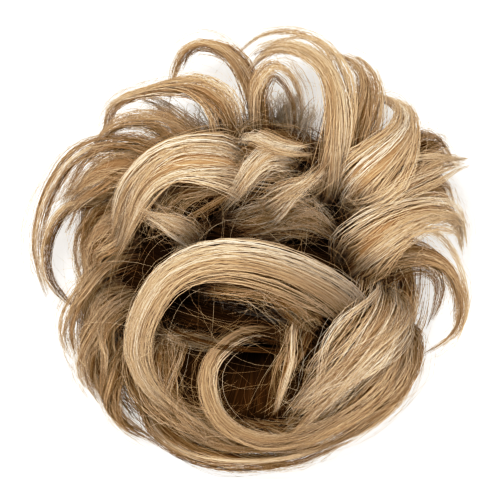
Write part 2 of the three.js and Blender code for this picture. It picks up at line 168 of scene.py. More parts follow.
COMBINGS: dict[Fall, Combing] = {
    Fall.FULL: Combing(
        strands=280, wisps=12, radius=0.115, core=0.5, spread=1.02, wave=0.34, stray=0.16, pace=7.0,
        mix=0.08, frizz=1.0, upward=0.5,
    ),
    Fall.LOOSE: Combing(
        strands=270, wisps=10, radius=0.105, core=0.4, spread=1.08, wave=0.52, stray=0.26, pace=6.5,
        mix=0.1, frizz=2.0, upward=0.4,
    ),
    Fall.TANGLED: Combing(
        strands=310, wisps=14, radius=0.1, core=0.35, spread=1.1, wave=0.48, stray=0.38, pace=6.0,
        mix=0.21, frizz=4.0, upward=0.4,
    ),
    Fall.WISP: Combing(
        strands=260, wisps=7, radius=0.09, core=0.0, spread=1.15, wave=0.5, stray=0.22, pace=6.5,
        mix=0.09, frizz=1.6,
    ),
    Fall.HOLLOW: Combing(
        strands=170, wisps=12, radius=0.12, core=0.55, spread=1.1, wave=0.4, stray=0.12, pace=7.0,
        mix=0.12, frizz=0.0, upward=0.4,
    ),
    Fall.LOW: Combing(
        strands=64, wisps=9, radius=0.18, core=0.75, spread=1.1, wave=0.3, stray=0.08, pace=7.0,
        mix=0.1, frizz=0.0, upward=0.4,
    ),
}


class NodeBench:
    """A new material and its nodes, with short ways to add and link them."""

    def __init__(self, name: str, **shader: float) -> None:
        """Starts a material.

        Args:
            name: Its name.
            shader: Values of the shader's own sockets, with _ for a space.
        """
        self.material = bpy.data.materials.new(name)
        self.material.use_nodes = True
        self.nodes = self.material.node_tree.nodes
        self.shader = self.nodes["Principled BSDF"].inputs
        for socket, value in shader.items():
            self.shader[socket.replace("_", " ")].default_value = value

    def add(
        self, kind: str, values: dict[str | int, object] | None = None, **settings: str | bool
    ) -> bpy.types.Node:
        """Adds a node.

        Args:
            kind: Its type, without ShaderNode before it.
            values: Values of its sockets, by their names or places.
            settings: Its own settings.

        Returns:
            The node.
        """
        node = self.nodes.new(f"ShaderNode{kind}")
        for name, value in settings.items():
            setattr(node, name, value)
        for socket, value in (values or {}).items():
            node.inputs[socket].default_value = value
        return node

    def link(self, source: bpy.types.NodeSocket, target: bpy.types.NodeSocket) -> None:
        """Links two sockets."""
        self.material.node_tree.links.new(source, target)

    def attribute(self, name: str) -> bpy.types.NodeSocket:
        """Returns the value of a new node that reads a strand attribute."""
        return self.add("Attribute", attribute_name=name).outputs["Fac"]

    def towards(self, colour: bpy.types.NodeSocket, goal: Colour) -> bpy.types.Node:
        """Returns a new mix from a colour towards a goal, whose factor isn't linked yet."""
        mix = self.add("Mix", {7: (*goal, 1.0)}, data_type="RGBA")
        self.link(colour, mix.inputs[6])
        return mix


@dataclass(frozen=True)
class HairFinish:
    """The dye of a hair and the painted shade on it: its colours from darker roots to bleached strands, and
    its gloss. The darker roots are partly dyed and partly painted shade, and the root colour is also the
    painted shade of the hollows.
    """

    name: str
    shades: tuple[Colour, ...]
    # The root colour: partly dyed roots, partly painted shade near the roots and in the hollows
    root: Colour
    root_length: float
    root_dye_and_shade: float
    # Painted shade: how strongly hair deep in the hollows is darkened
    hollow_shade_strength: float
    roughness: float
    gloss: float
    streaks: tuple[float, float] = (220.0, 5.0)
    streak_depth: float = 0.24
    bump: float = 0.15
    bump_height: float = 0.0002

    def make(self) -> bpy.types.Material:
        """Builds the material.

        Returns:
            A material that reads the strands' tone, along and sunk attributes. The sunk attribute darkens
            hair deep in the hollows towards the root colour, as painted shade.
        """
        bench = NodeBench(self.name, Roughness=self.roughness, Specular_IOR_Level=self.gloss)
        uv = bench.add("UVMap", uv_map=UV_NAME)
        stretch = bench.add("Mapping", {"Scale": (*self.streaks, 1.0)})
        noise = bench.add("TexNoise", {"Scale": 1.0, "Detail": 3.0})
        bench.link(uv.outputs["UV"], stretch.inputs["Vector"])
        bench.link(stretch.outputs["Vector"], noise.inputs["Vector"])

        streaked = bench.add("Math", {1: self.streak_depth}, operation="MULTIPLY_ADD")
        lowered = bench.add("Math", {1: self.streak_depth / 2}, operation="SUBTRACT")
        bench.link(noise.outputs["Fac"], streaked.inputs[0])
        bench.link(bench.attribute("tone"), lowered.inputs[0])
        bench.link(lowered.outputs[0], streaked.inputs[2])

        ramp = bench.add("ValToRGB")
        stops = ramp.color_ramp.elements
        last = len(self.shades) - 1
        for i in range(1, last):
            stops.new(i / last)
        for stop, shade in zip(stops, self.shades):
            stop.color = (*shade, 1.0)
        bench.link(streaked.outputs[0], ramp.inputs["Fac"])

        # Roots darken towards the root colour over root_length, partly as dyed roots and partly as painted
        # shade
        rooted = bench.towards(ramp.outputs["Color"], self.root)
        fade = bench.add("MapRange", {
            "From Min": 0.0, "From Max": self.root_length, "To Min": self.root_dye_and_shade, "To Max": 0.0,
        })
        bench.link(bench.attribute("along"), fade.inputs["Value"])
        bench.link(fade.outputs["Result"], rooted.inputs["Factor"])

        # Painted shade: hair deep in the hollows is darkened towards the root colour by the sunk attribute
        deep = bench.towards(rooted.outputs[2], self.root)
        weight = bench.add("Math", {1: self.hollow_shade_strength}, operation="MULTIPLY")
        bench.link(bench.attribute("sunk"), weight.inputs[0])
        bench.link(weight.outputs[0], deep.inputs["Factor"])
        bench.link(deep.outputs[2], bench.shader["Base Color"])

        relief = bench.add("Bump", {"Strength": self.bump, "Distance": self.bump_height})
        bench.link(noise.outputs["Fac"], relief.inputs["Height"])
        bench.link(relief.outputs["Normal"], bench.shader["Normal"])
        return bench.material


BLOND_SHADES: tuple[Colour, ...] = (
    (0.070, 0.028, 0.006),
    (0.170, 0.082, 0.026),
    (0.345, 0.215, 0.105),
    (0.540, 0.385, 0.225),
    (0.730, 0.580, 0.405),
    (0.890, 0.800, 0.670),
)
# Painted shade: the inner hair and the hollow locks are dark umber, which stands in for the deep shade of
# the hollow and the well
HOLLOW_SHADE_UMBERS: tuple[Colour, ...] = (
    (0.022, 0.009, 0.002),
    (0.050, 0.023, 0.006),
    (0.105, 0.055, 0.018),
    (0.210, 0.126, 0.052),
)
OUTER_HAIR = HairFinish(
    "sun-streaked blond strands", BLOND_SHADES, root=(0.060, 0.022, 0.004), root_length=0.45,
    root_dye_and_shade=0.86, hollow_shade_strength=0.97, roughness=0.42, gloss=0.14,
)
OUTER_CORE = HairFinish(
    "packed blond hair", BLOND_SHADES, root=(0.040, 0.015, 0.003), root_length=0.4,
    root_dye_and_shade=0.7, hollow_shade_strength=0.96, roughness=0.6, gloss=0.04, streaks=(190.0, 3.0),
    streak_depth=0.6, bump=0.7,
)
SHADED_INNER_HAIR = HairFinish(
    "umber inner strands in painted shade", HOLLOW_SHADE_UMBERS, root=(0.012, 0.004, 0.001), root_length=0.2,
    root_dye_and_shade=0.3, hollow_shade_strength=0.9, roughness=0.55, gloss=0.05,
)
SHADED_INNER_CORE = HairFinish(
    "packed umber hair in painted shade", HOLLOW_SHADE_UMBERS, root=(0.008, 0.003, 0.001), root_length=0.2,
    root_dye_and_shade=0.3, hollow_shade_strength=0.9, roughness=0.7, gloss=0.02, streaks=(190.0, 3.0),
    streak_depth=0.6, bump=0.7,
)


@dataclass(frozen=True)
class ElasticFinish:
    """The woven cover of the elastic band."""

    name: str = "ribbed tan elastic"
    thread: Colour = (0.30, 0.20, 0.115)
    second_thread: float = 0.8
    gap: Colour = (0.10, 0.062, 0.035)
    gap_width: float = 0.06
    ribs: float = 160.0
    rows: float = 18.0
    roughness: float = 0.85
    sheen: float = 0.3
    bump: float = 0.6
    bump_height: float = 0.0003

    def make(self) -> bpy.types.Material:
        """Returns a matte fabric with ribs across the band."""
        bench = NodeBench(self.name, Roughness=self.roughness, Sheen_Weight=self.sheen)
        uv = bench.add("UVMap", uv_map=UV_NAME)
        scale = bench.add("Mapping", {"Scale": (self.ribs, self.rows, 1.0)})
        brick = bench.add("TexBrick", {
            "Color1": (*self.thread, 1.0), "Color2": (*[c * self.second_thread for c in self.thread], 1.0),
            "Mortar": (*self.gap, 1.0), "Scale": 1.0, "Mortar Size": self.gap_width,
        })
        relief = bench.add("Bump", {"Strength": self.bump, "Distance": self.bump_height}, invert=True)
        bench.link(uv.outputs["UV"], scale.inputs["Vector"])
        bench.link(scale.outputs["Vector"], brick.inputs["Vector"])
        bench.link(brick.outputs["Color"], bench.shader["Base Color"])
        bench.link(brick.outputs["Fac"], relief.inputs["Height"])
        bench.link(relief.outputs["Normal"], bench.shader["Normal"])
        return bench.material


@dataclass(frozen=True)
class FloorFinish:
    """The plain pale floor. It glows, as a lit table does, as painted light that pales the shadows cast on
    it, except under the bun's ring, where the hole keeps its shade.
    """

    name: str = "pale studio floor"
    colour: Colour = (0.82, 0.82, 0.815)
    mottle: float = 0.99
    mottle_scale: float = 4.0
    roughness: float = 0.8
    gloss: float = 0.1
    painted_glow: float = 0.38
    shade: float = 0.05
    shade_edge: float = 0.057

    def make(self) -> bpy.types.Material:
        """Returns a matte pale paint with a faint mottle that glows as painted light, dark within the
        shade's radius in metres.
        """
        bench = NodeBench(self.name, Roughness=self.roughness, Specular_IOR_Level=self.gloss)
        bench.shader["Emission Color"].default_value = (*self.colour, 1.0)
        place = bench.add("TexCoord")
        out = bench.add("VectorMath", {1: RING_AXIS * MM}, operation="DISTANCE")
        lit = bench.add("MapRange", {
            "From Min": self.shade, "From Max": self.shade_edge, "To Max": self.painted_glow,
        })
        noise = bench.add("TexNoise", {"Scale": self.mottle_scale})
        ramp = bench.add("ValToRGB")
        ramp.color_ramp.elements[0].color = (*[c * self.mottle for c in self.colour], 1.0)
        ramp.color_ramp.elements[1].color = (*self.colour, 1.0)
        bench.link(place.outputs["Object"], out.inputs[0])
        bench.link(out.outputs["Value"], lit.inputs["Value"])
        bench.link(lit.outputs["Result"], bench.shader["Emission Strength"])
        bench.link(place.outputs["Object"], noise.inputs["Vector"])
        bench.link(noise.outputs["Fac"], ramp.inputs["Fac"])
        bench.link(ramp.outputs["Color"], bench.shader["Base Color"])
        return bench.material


def unit(vectors: Array) -> Array:
    """Returns vectors at length 1."""
    length = np.linalg.norm(vectors, axis=-1, keepdims=True)
    return vectors / np.maximum(length, 1e-9)


def share_of_turn(angle: Array) -> Array:
    """Returns angles as shares of a full turn, from 0 to just under 1."""
    return np.round(angle / (2 * np.pi), 6) % 1.0


def profile(share: Array, table: tuple[tuple[float, float], ...]) -> Array:
    """Returns the values that a table of shares and values has at shares."""
    shares, values = zip(*table)
    return np.interp(share, shares, values)


def across_draws(rng: np.random.Generator, limits: tuple[float, float], count: int) -> Array:
    """Returns one even draw for each strand, as a column."""
    return rng.uniform(*limits, count)[:, None]


def dome_height(out: Array) -> Array:
    """Returns the height of the bun's outer form at shares of its radius, in millimetres."""
    return BUN_HEIGHT * (1.0 - DOME_DROP * np.minimum(out, 1.0) ** DOME_POWER)


def painted_hollow_shade(points: Array) -> Array:
    """How deep points lie under the bun's outer form, which darkens the hair there as painted shade.

    Args:
        points: Places in millimetres, xyz last.

    Returns:
        0 at the outside, up to 1 deep in the hollows.
    """
    out = np.linalg.norm((points - BUN_MIDDLE)[..., :2], axis=-1) / BUN_RADIUS
    shade = np.clip((dome_height(out) - points[..., 2] - HOLLOW_SHADE_FROM) / HOLLOW_SHADE_RANGE, 0.0, 1.0)
    return shade * profile(out, HOLLOW_SHADE_INSIDE)


def wander(rng: np.random.Generator, count: int, waves: int) -> Array:
    """Draws smooth random curves.

    Args:
        rng: The seeded source of chance.
        count: How many curves.
        waves: How many waves each is the sum of.

    Returns:
        For each curve and wave its frequency, phase and size.
    """
    order = np.arange(1, waves + 1)
    pace = order * rng.uniform(*WANDER_PACE, (count, waves))
    phase = rng.uniform(0, 2 * np.pi, (count, waves))
    size = rng.normal(0, 1.0, (count, waves)) / order
    return np.stack([pace, phase, size], axis=-1)


def follow(curves: Array, share: Array) -> Array:
    """Returns the heights of wandering curves at shares of the length."""
    angle = 2 * np.pi * curves[:, None, :, 0] * share[:, :, None] + curves[:, None, :, 1]
    return (np.sin(angle) * curves[:, None, :, 2]).sum(axis=-1)


@dataclass
class Weft:
    """Gathers tubes and cores as arrays, and sews them into one mesh."""

    places: list[Array] = field(default_factory=list)
    values: list[Array] = field(default_factory=list)
    maps: list[Array] = field(default_factory=list)
    loops: list[Array] = field(default_factory=list)
    sizes: list[Array] = field(default_factory=list)
    slots: list[Array] = field(default_factory=list)
    count: int = 0

    def add_strands(
        self,
        points: Array,
        radii: Array,
        tone: Array,
        along: Array,
        rows: tuple[float, float] = (0.25, 1.0),
    ) -> None:
        """Adds closed three-sided tubes.

        Args:
            points: The strands' centre lines, (strands, points, 3), in millimetres.
            radii: Their radius at each point.
            tone: One tone for each strand.
            along: The share of the lock's length at each point.
            rows: The part of the map's height that they take.
        """
        strands, steps, _ = points.shape
        tangent = unit(np.gradient(points, axis=1))
        side = unit(np.cross(tangent, ASLANT))
        over = np.cross(side, tangent)
        turn = np.arange(3) * 2 * np.pi / 3 + np.pi / 2
        ring = (
            side[:, :, None, :] * np.cos(turn)[None, None, :, None]
            - over[:, :, None, :] * np.sin(turn)[None, None, :, None]
        )
        corners = points[:, :, None, :] + ring * radii[:, :, None, None]
        self.places.append(corners.reshape(-1, 3))
        shape = (strands, steps, 3)
        self.values.append(
            np.stack(
                [
                    np.broadcast_to(tone[:, None, None], shape),
                    np.broadcast_to(along[:, :, None], shape),
                    np.broadcast_to(painted_hollow_shade(points)[:, :, None], shape),
                ],
                axis=-1,
            ).reshape(-1, 3)
        )
        strand = np.arange(strands)[:, None, None] * steps * 3
        step = np.arange(steps - 1)[None, :, None] * 3
        this = np.arange(3)[None, None, :]
        following = (this + 1) % 3
        base = self.count + strand + step
        walls = np.stack([base + this, base + following, base + 3 + following, base + 3 + this], axis=-1)
        ends = np.concatenate(
            [
                self.count + strand[:, 0] + np.array([[2, 1, 0]]),
                self.count + strand[:, 0] + (steps - 1) * 3 + np.array([[0, 1, 2]]),
            ],
            axis=1,
        )
        column = (strand / (steps * 3) + COLUMN_START) / strands
        width = COLUMN_WIDTH / strands / 3
        low, high = rows
        v = low + (high - low) * np.linspace(0.0, 1.0, steps)[None, :, None]
        left = np.broadcast_to(column + width * this, (strands, steps - 1, 3))
        right = left + width
        lower = np.broadcast_to(v[:, :-1], left.shape)
        upper = np.broadcast_to(v[:, 1:], left.shape)
        wall_map = np.stack(
            [
                np.stack([left, lower], -1),
                np.stack([right, lower], -1),
                np.stack([right, upper], -1),
                np.stack([left, upper], -1),
            ],
            axis=-2,
        )
        start = column[:, 0] + width * np.array([[2.0, 1.0, 0.0, 0.0, 1.0, 2.0]])
        end_v = np.array([[low, low, low, high, high, high]]) + np.zeros((strands, 1))
        self.loops += [walls.ravel(), ends.ravel()]
        self.maps += [wall_map.reshape(-1, 2), np.stack([start, end_v], -1).reshape(-1, 2)]
        self.sizes += [np.full(walls.shape[0] * walls.shape[1] * 3, 4), np.full(strands * 2, 3)]
        self.slots.append(np.zeros(walls.shape[0] * walls.shape[1] * 3 + strands * 2, dtype=int))
        self.count += strands * steps * 3

    def add_shell(
        self,
        shell: bmesh.types.BMesh,
        values: Array,
        maps: Array,
        wrap: tuple[float, float],
        slot: int = 1,
    ) -> None:
        """Adds a closed shell made with mesh operators.

        Args:
            shell: The shell, its places in millimetres.
            values: Tone, along and sunk of each vertex; sunk is the painted shade of the hollows.
            maps: The map place of each vertex, u and v.
            wrap: The step of u and of v where the map closes on itself, or 0 where it doesn't.
            slot: The material slot of its faces.
        """
        wrap = np.array(wrap)
        shell.verts.index_update()
        self.places.append(np.array([v.co[:] for v in shell.verts]))
        self.values.append(values)
        loops = [[v.index for v in face.verts] for face in shell.faces]
        sizes = np.array([len(face) for face in loops])
        flat = np.array([i for face in loops for i in face])
        starts = np.concatenate([[0], np.cumsum(sizes)[:-1]])
        corners = maps[flat]
        period = maps.max(axis=0) - maps.min(axis=0) + wrap
        most = np.repeat(np.maximum.reduceat(corners, starts, axis=0), sizes, axis=0)
        seam = (most - corners > period / 2) & (wrap > 0)
        self.maps.append(corners + seam * period)
        self.loops.append(flat + self.count)
        self.sizes.append(sizes)
        self.slots.append(np.full(len(sizes), slot))
        self.count += len(self.places[-1])
        shell.free()

    def sew(self, name: str, *finishes: bpy.types.Material) -> bpy.types.Object:
        """Makes the object.

        Args:
            name: The piece's name.
            finishes: Its materials, in the order of the slots.

        Returns:
            The new object, linked to the scene.
        """
        mesh = bpy.data.meshes.new(name)
        places = np.concatenate(self.places) * MM
        loops = np.concatenate(self.loops)
        sizes = np.concatenate(self.sizes)
        mesh.vertices.add(len(places))
        mesh.vertices.foreach_set("co", places.astype(np.float32).ravel())
        mesh.loops.add(len(loops))
        mesh.loops.foreach_set("vertex_index", loops.astype(np.int32))
        mesh.polygons.add(len(sizes))
        starts = np.concatenate([[0], np.cumsum(sizes)[:-1]])
        mesh.polygons.foreach_set("loop_start", starts.astype(np.int32))
        mesh.polygons.foreach_set("material_index", np.concatenate(self.slots).astype(np.int32))
        mesh.polygons.foreach_set("use_smooth", np.ones(len(sizes), dtype=bool))
        mesh.update(calc_edges=True)
        layer = mesh.uv_layers.new(name=UV_NAME)
        layer.data.foreach_set("uv", np.concatenate(self.maps).astype(np.float32).ravel())
        values = np.concatenate(self.values).astype(np.float32)
        # The sunk attribute holds the painted shade of the hollows
        for i, word in enumerate(("tone", "along", "sunk")):
            mesh.attributes.new(word, "FLOAT", "POINT").data.foreach_set("value", values[:, i].copy())
        for finish in finishes:
            mesh.materials.append(finish)
        mesh.validate()
        piece = bpy.data.objects.new(name, mesh)
        bpy.context.scene.collection.objects.link(piece)
        return piece


def hold_at_share(point: Array, extra: float, least: float, most: float) -> Array:
    """Moves a point from or towards the ring's core.

    Args:
        point: The place, in millimetres.
        extra: How far the ring's section is grown.
        least: The least share of the way from the core to the surface.
        most: The most share of it.

    Returns:
        The moved point.
    """
    flat = point - RING_AXIS
    flat[2] = 0.0
    core = RING_AXIS + unit(flat) * RING_MIDDLE
    core[2] = SECTION_MIDDLE
    away = point - core
    side = np.hypot(away[0], away[1]) / (HALF_WIDTH + extra)
    up = abs(away[2]) / (HALF_HEIGHT + extra)
    share = (side ** (2 / BOXINESS) + up ** (2 / BOXINESS)) ** (BOXINESS / 2)
    return core + away * np.clip(share, least, most) / max(share, 1e-6)


def smooth_route(points: Array, samples: int) -> Array:
    """A centripetal curve through points, sampled evenly along its length.

    Args:
        points: The stations, (stations, 3).
        samples: How many samples to return.

    Returns:
        The samples, (samples, 3).
    """
    ends = np.vstack([2 * points[0] - points[1], points, 2 * points[-1] - points[-2]])
    dense = []
    for i in range(len(points) - 1):
        a, b, c, d = ends[i : i + 4]
        gap0 = np.linalg.norm(b - a) ** 0.5
        gap1 = np.linalg.norm(c - b) ** 0.5
        gap2 = np.linalg.norm(d - c) ** 0.5
        start = ((b - a) / gap0 - (c - a) / (gap0 + gap1) + (c - b) / gap1) * gap1
        stop = ((c - b) / gap1 - (d - b) / (gap1 + gap2) + (d - c) / gap2) * gap1
        t = np.linspace(0.0, 1.0, SPAN_SAMPLES, endpoint=i == len(points) - 2)[:, None]
        dense.append(
            b + start * t + (3 * (c - b) - 2 * start - stop) * t**2 + (2 * (b - c) + start + stop) * t**3
        )
    dense = np.vstack(dense)
    length = np.concatenate([[0.0], np.cumsum(np.linalg.norm(np.diff(dense, axis=0), axis=1))])
    even = np.linspace(0.0, length[-1], samples)
    return np.stack([np.interp(even, length, dense[:, k]) for k in range(3)], axis=1)


@dataclass
class Lie:
    """Where a lock lies: its centre line and the directions of its depth and width along it."""

    along: Array
    centre: Array
    depth: Array
    across: Array

    @classmethod
    def through(cls, points: Array, samples: int = 40, extension: float = 0.16) -> "Lie":
        """Lays frames along a route, and carries them on past its end.

        Args:
            points: The laid stations, in millimetres.
            samples: Samples on the route.
            extension: How far the frames go on past the end, as a share of its length.

        Returns:
            The frames.
        """
        centre = smooth_route(points, samples)
        tangent = unit(np.gradient(centre, axis=0))
        step = np.linalg.norm(centre[-1] - centre[-2])
        bend = (tangent[-1] - tangent[-1 - BEND_SPAN]) / BEND_SPAN
        for _ in range(int(samples * extension)):
            following = unit(tangent[-1] + bend)
            centre = np.vstack([centre, centre[-1] + following * step])
            tangent = np.vstack([tangent, following])
        half = samples // 2
        core = hold_at_share(centre[half].copy(), 0.0, 0.0, 0.0)
        depth = np.zeros_like(centre)
        out = centre[half] - core
        depth[half] = unit(out - tangent[half] * np.dot(out, tangent[half]))
        for i in range(half, len(centre) - 1):
            depth[i + 1] = unit(depth[i] - tangent[i + 1] * np.dot(depth[i], tangent[i + 1]))
        for i in range(half, 0, -1):
            depth[i - 1] = unit(depth[i] - tangent[i - 1] * np.dot(depth[i], tangent[i - 1]))
        along = np.arange(len(centre)) / (samples - 1)
        return cls(along, centre, depth, np.cross(depth, tangent))

    def at(self, share: Array, column: Array) -> Array:
        """Returns a column of the frames at shares of the length, xyz last."""
        flat = share.ravel()
        out = np.stack([np.interp(flat, self.along, column[:, k]) for k in range(3)], axis=1)
        return out.reshape(*share.shape, 3)


@dataclass(frozen=True)
class StrandHabit:
    """What the strands of every fall have in common, in shares of the lock unless said otherwise.

    Attributes:
        least_wisps: The fewest wisps of a lock.
        wisp_reach: How far out the outermost wisp lies.
        crowding: How much the lift towards the outer face counts.
        looseness: How far strands lie from their wisp's middle.
        latest_start: How late a strand starts along the lock.
        wisp_ends: Where wisps end along it.
        end_spread: How much the strands' ends differ within a wisp.
        end_limits: Where the first and the last strand end.
        points: The fewest and the most points of a strand.
        gather: How wide a wisp is at its start, how much less at its end, and how soon.
        parting: Where wisps start to part, how much, and how soon.
        rooting: How soon strands start to sway.
        own_sway: A strand's own sway.
        ripple: A strand's ripple, in millimetres.
        stray_ripple: What a stray strand adds to it.
        thickness: How much strands differ in thickness.
        stray_thickness: How thick a stray strand is.
        wisp_tone: How much the tone differs from wisp to wisp.
        lock_depth_shade: Painted light and shade: how much lighter strands are towards the outer face, and
            darker deep in the lock.
        lock_depth_shade_limits: Where that stops.
        taper: A strand's thickness along it.
    """

    least_wisps: int = 3
    wisp_reach: float = 0.9
    crowding: float = 0.5
    looseness: float = 0.6
    latest_start: float = 0.12
    wisp_ends: tuple[float, float] = (0.86, 1.12)
    end_spread: float = 0.06
    end_limits: tuple[float, float] = (0.7, 1.15)
    points: tuple[int, int] = (8, 18)
    gather: tuple[float, float, float] = (1.15, 0.75, 1.5)
    parting: tuple[float, float, float] = (0.6, 0.5, 2.0)
    rooting: float = 4.0
    own_sway: float = 0.12
    ripple: tuple[float, float] = (0.1, 0.4)
    stray_ripple: tuple[float, float] = (0.8, 2.4)
    thickness: tuple[float, float] = (0.6, 1.3)
    stray_thickness: float = 0.5
    wisp_tone: float = 0.11
    lock_depth_shade: float = 0.22
    lock_depth_shade_limits: tuple[float, float] = (-1.2, 0.5)
    taper: tuple[tuple[float, float], ...] = ((0.0, 0.75), (0.08, 1.0), (0.6, 0.9), (1.0, 0.3))


@dataclass(frozen=True)
class PackedCore:
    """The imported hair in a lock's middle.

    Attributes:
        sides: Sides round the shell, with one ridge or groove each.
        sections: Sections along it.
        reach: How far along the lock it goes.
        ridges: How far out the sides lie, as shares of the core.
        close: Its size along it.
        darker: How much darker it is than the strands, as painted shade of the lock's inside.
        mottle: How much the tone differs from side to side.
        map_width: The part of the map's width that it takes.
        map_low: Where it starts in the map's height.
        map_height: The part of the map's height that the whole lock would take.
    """

    sides: int = 20
    sections: int = 22
    reach: float = 0.88
    ridges: tuple[float, float] = (0.82, 1.1)
    close: tuple[tuple[float, float], ...] = ((0.0, 1.0), (0.6, 1.0), (0.88, 0.35))
    darker: float = 0.18
    mottle: float = 0.08
    map_width: float = 0.95
    map_low: float = 0.02
    map_height: float = 0.2


HABIT = StrandHabit()
CORE = PackedCore()


@dataclass
class Lock:
    """One lock of hair, from its root in the inner hair to its tips."""

    name: str
    width: float
    depth: float
    tone: float
    fall: Fall
    fan: float
    route: list[list[float]]
    slot: str = "outer_hair"
    ready: bool = False

    def stations(self) -> Array:
        """Returns the laid stations of the route, in millimetres."""
        points = np.array(self.route, dtype=float)
        if not self.ready:
            points = points * np.array([BUN_RADIUS, BUN_RADIUS, BUN_HEIGHT]) + BUN_MIDDLE
        lift = self.depth * LOCK_DEPTH / 2 + LOCK_ROOM
        laid = [hold_at_share(points[0].copy(), 0.0, 0.0, 1 - ROOT_DEPTH)]
        laid += [hold_at_share(point.copy(), lift, 1.0, np.inf) for point in points[1:]]
        return np.array(laid)

    def half_sizes(self, share: Array) -> tuple[Array, Array]:
        """Returns the half width and half depth at shares of the length, in millimetres."""
        wide = np.interp(share, LOCK_SHAPE[:, 0], LOCK_SHAPE[:, 1])
        deep = np.interp(share, LOCK_SHAPE[:, 0], LOCK_SHAPE[:, 2])
        fanned = np.interp(share, [0.0, 1.0], [2.0 - self.fan, self.fan])
        return wide * fanned * self.width * LOCK_WIDTH / 2, deep * self.depth * LOCK_DEPTH / 2

    def place_along(self, lie: Lie, share: Array, aside: Array, out: Array) -> Array:
        """Returns places beside the centre line, in millimetres, none below the table."""
        points = (
            lie.at(share, lie.centre)
            + lie.at(share, lie.across) * aside[..., None]
            + lie.at(share, lie.depth) * out[..., None]
        )
        points[..., 2] = np.maximum(points[..., 2], FLOOR_GAP)
        return points

    def comb(self, lie: Lie, weft: Weft, rng: np.random.Generator) -> None:
        """Combs the strands: wisps of strands that part and wave along the lock.

        Args:
            lie: The lock's frames.
            weft: The mesh that takes the strands.
            rng: The seeded source of chance.
        """
        combing = COMBINGS[self.fall]
        strands = round(combing.strands * self.width)
        wisps = max(HABIT.least_wisps, round(combing.wisps * self.width))
        wisp = np.arange(strands) % wisps
        order = np.arange(wisps)
        angle = order * GOLDEN_ANGLE + rng.uniform(0, 2 * np.pi)
        radius = HABIT.wisp_reach * np.sqrt((order + 0.5) / wisps)
        centre = np.stack([radius * np.cos(angle), radius * np.sin(angle)], axis=1)
        centre[:, 1] += combing.upward * (1.0 - centre[:, 1]) * HABIT.crowding
        loose = rng.normal(0.0, HABIT.looseness / np.sqrt(wisps), (strands, 2))

        start = rng.uniform(0.0, HABIT.latest_start, strands)
        reach = rng.uniform(*HABIT.wisp_ends, wisps)[wisp]
        end = np.clip(reach - np.abs(rng.normal(0.0, HABIT.end_spread, strands)), *HABIT.end_limits)
        length = np.linalg.norm(np.diff(lie.centre, axis=0), axis=1).sum()
        steps = np.linspace(0.0, 1.0, int(np.clip(round(length / combing.pace), *HABIT.points)))
        share = start[:, None] + (end - start)[:, None] * steps[None, :]

        wide, narrower, soon = HABIT.gather
        gather = wide - narrower * np.clip(share / reach[:, None], 0, 1) ** soon
        part_from, part_by, part_soon = HABIT.parting
        part = combing.spread + part_by * np.clip(share - part_from, 0, 1) ** part_soon
        ramp = np.clip(share * HABIT.rooting, 0, 1)
        place = []
        ripple = []
        stray = rng.random(strands) < combing.stray
        for k in range(2):
            sway = wander(rng, wisps, 3)[wisp]
            own = wander(rng, strands, 3)
            fine = wander(rng, strands, 6)
            drift = combing.wave * follow(sway, share) + HABIT.own_sway * follow(own, share)
            place.append(part * centre[wisp, k][:, None] + ramp * drift + loose[:, k, None] * gather)
            size = rng.uniform(*HABIT.ripple, strands)
            size[stray] += rng.uniform(*HABIT.stray_ripple, int(stray.sum()))
            ripple.append(size[:, None] * ramp * follow(fine, share))

        half_width, half_depth = self.half_sizes(share)
        aside = half_width * place[0] + ripple[0]
        points = self.place_along(lie, share, aside, half_depth * place[1] + ripple[1])
        thick = combing.radius * rng.uniform(*HABIT.thickness, strands)
        thick[stray] *= HABIT.stray_thickness
        tone = self.tone + rng.normal(0, HABIT.wisp_tone, wisps)[wisp] + rng.normal(0, combing.mix, strands)
        # Painted light and shade: strands near the lock's outer face are lighter, those deep in it darker
        tone += HABIT.lock_depth_shade * np.clip(centre[wisp, 1] + loose[:, 1], *HABIT.lock_depth_shade_limits)
        weft.add_strands(points, thick[:, None] * profile(steps, HABIT.taper)[None, :], tone, share)

    def pack(self, lie: Lie, weft: Weft, rng: np.random.Generator) -> None:
        """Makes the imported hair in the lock's middle: a closed, ridged shell.

        Args:
            lie: The lock's frames.
            weft: The mesh that takes the shell.
            rng: The seeded source of chance.
        """
        core = COMBINGS[self.fall].core
        if core == 0.0:
            return
        shell = bmesh.new()
        bmesh.ops.create_cone(
            shell, cap_ends=True, cap_tris=False, segments=CORE.sides, radius1=1.0, radius2=1.0, depth=1.0
        )
        long_edges = [e for e in shell.edges if abs(e.verts[0].co.z - e.verts[1].co.z) > 0.5]
        bmesh.ops.subdivide_edges(shell, edges=long_edges, cuts=CORE.sections - 1, use_grid_fill=True)
        corner = np.array([v.co[:] for v in shell.verts])
        share = (corner[:, 2] + 0.5) * CORE.reach
        around = share_of_turn(np.arctan2(corner[:, 1], corner[:, 0]))
        column = np.round(around * CORE.sides).astype(int) % CORE.sides
        ridge = rng.uniform(*CORE.ridges, CORE.sides)[column]
        close = profile(share, CORE.close)
        half_width, half_depth = self.half_sizes(share)
        aside = half_width * corner[:, 0] * core * ridge * close
        points = self.place_along(lie, share, aside, half_depth * corner[:, 1] * core * ridge * close)
        for vertex, place in zip(shell.verts, points):
            vertex.co = place
        # Painted shade: the core is darker than the strands, as the shaded inside of the lock
        tone = self.tone - CORE.darker + rng.normal(0, CORE.mottle, CORE.sides)[column]
        maps = np.stack([around * CORE.map_width, CORE.map_low + CORE.map_height * share], axis=1)
        values = np.stack([tone, share, painted_hollow_shade(points)], axis=1)
        weft.add_shell(shell, values, maps, (CORE.map_width / CORE.sides, 0.0))

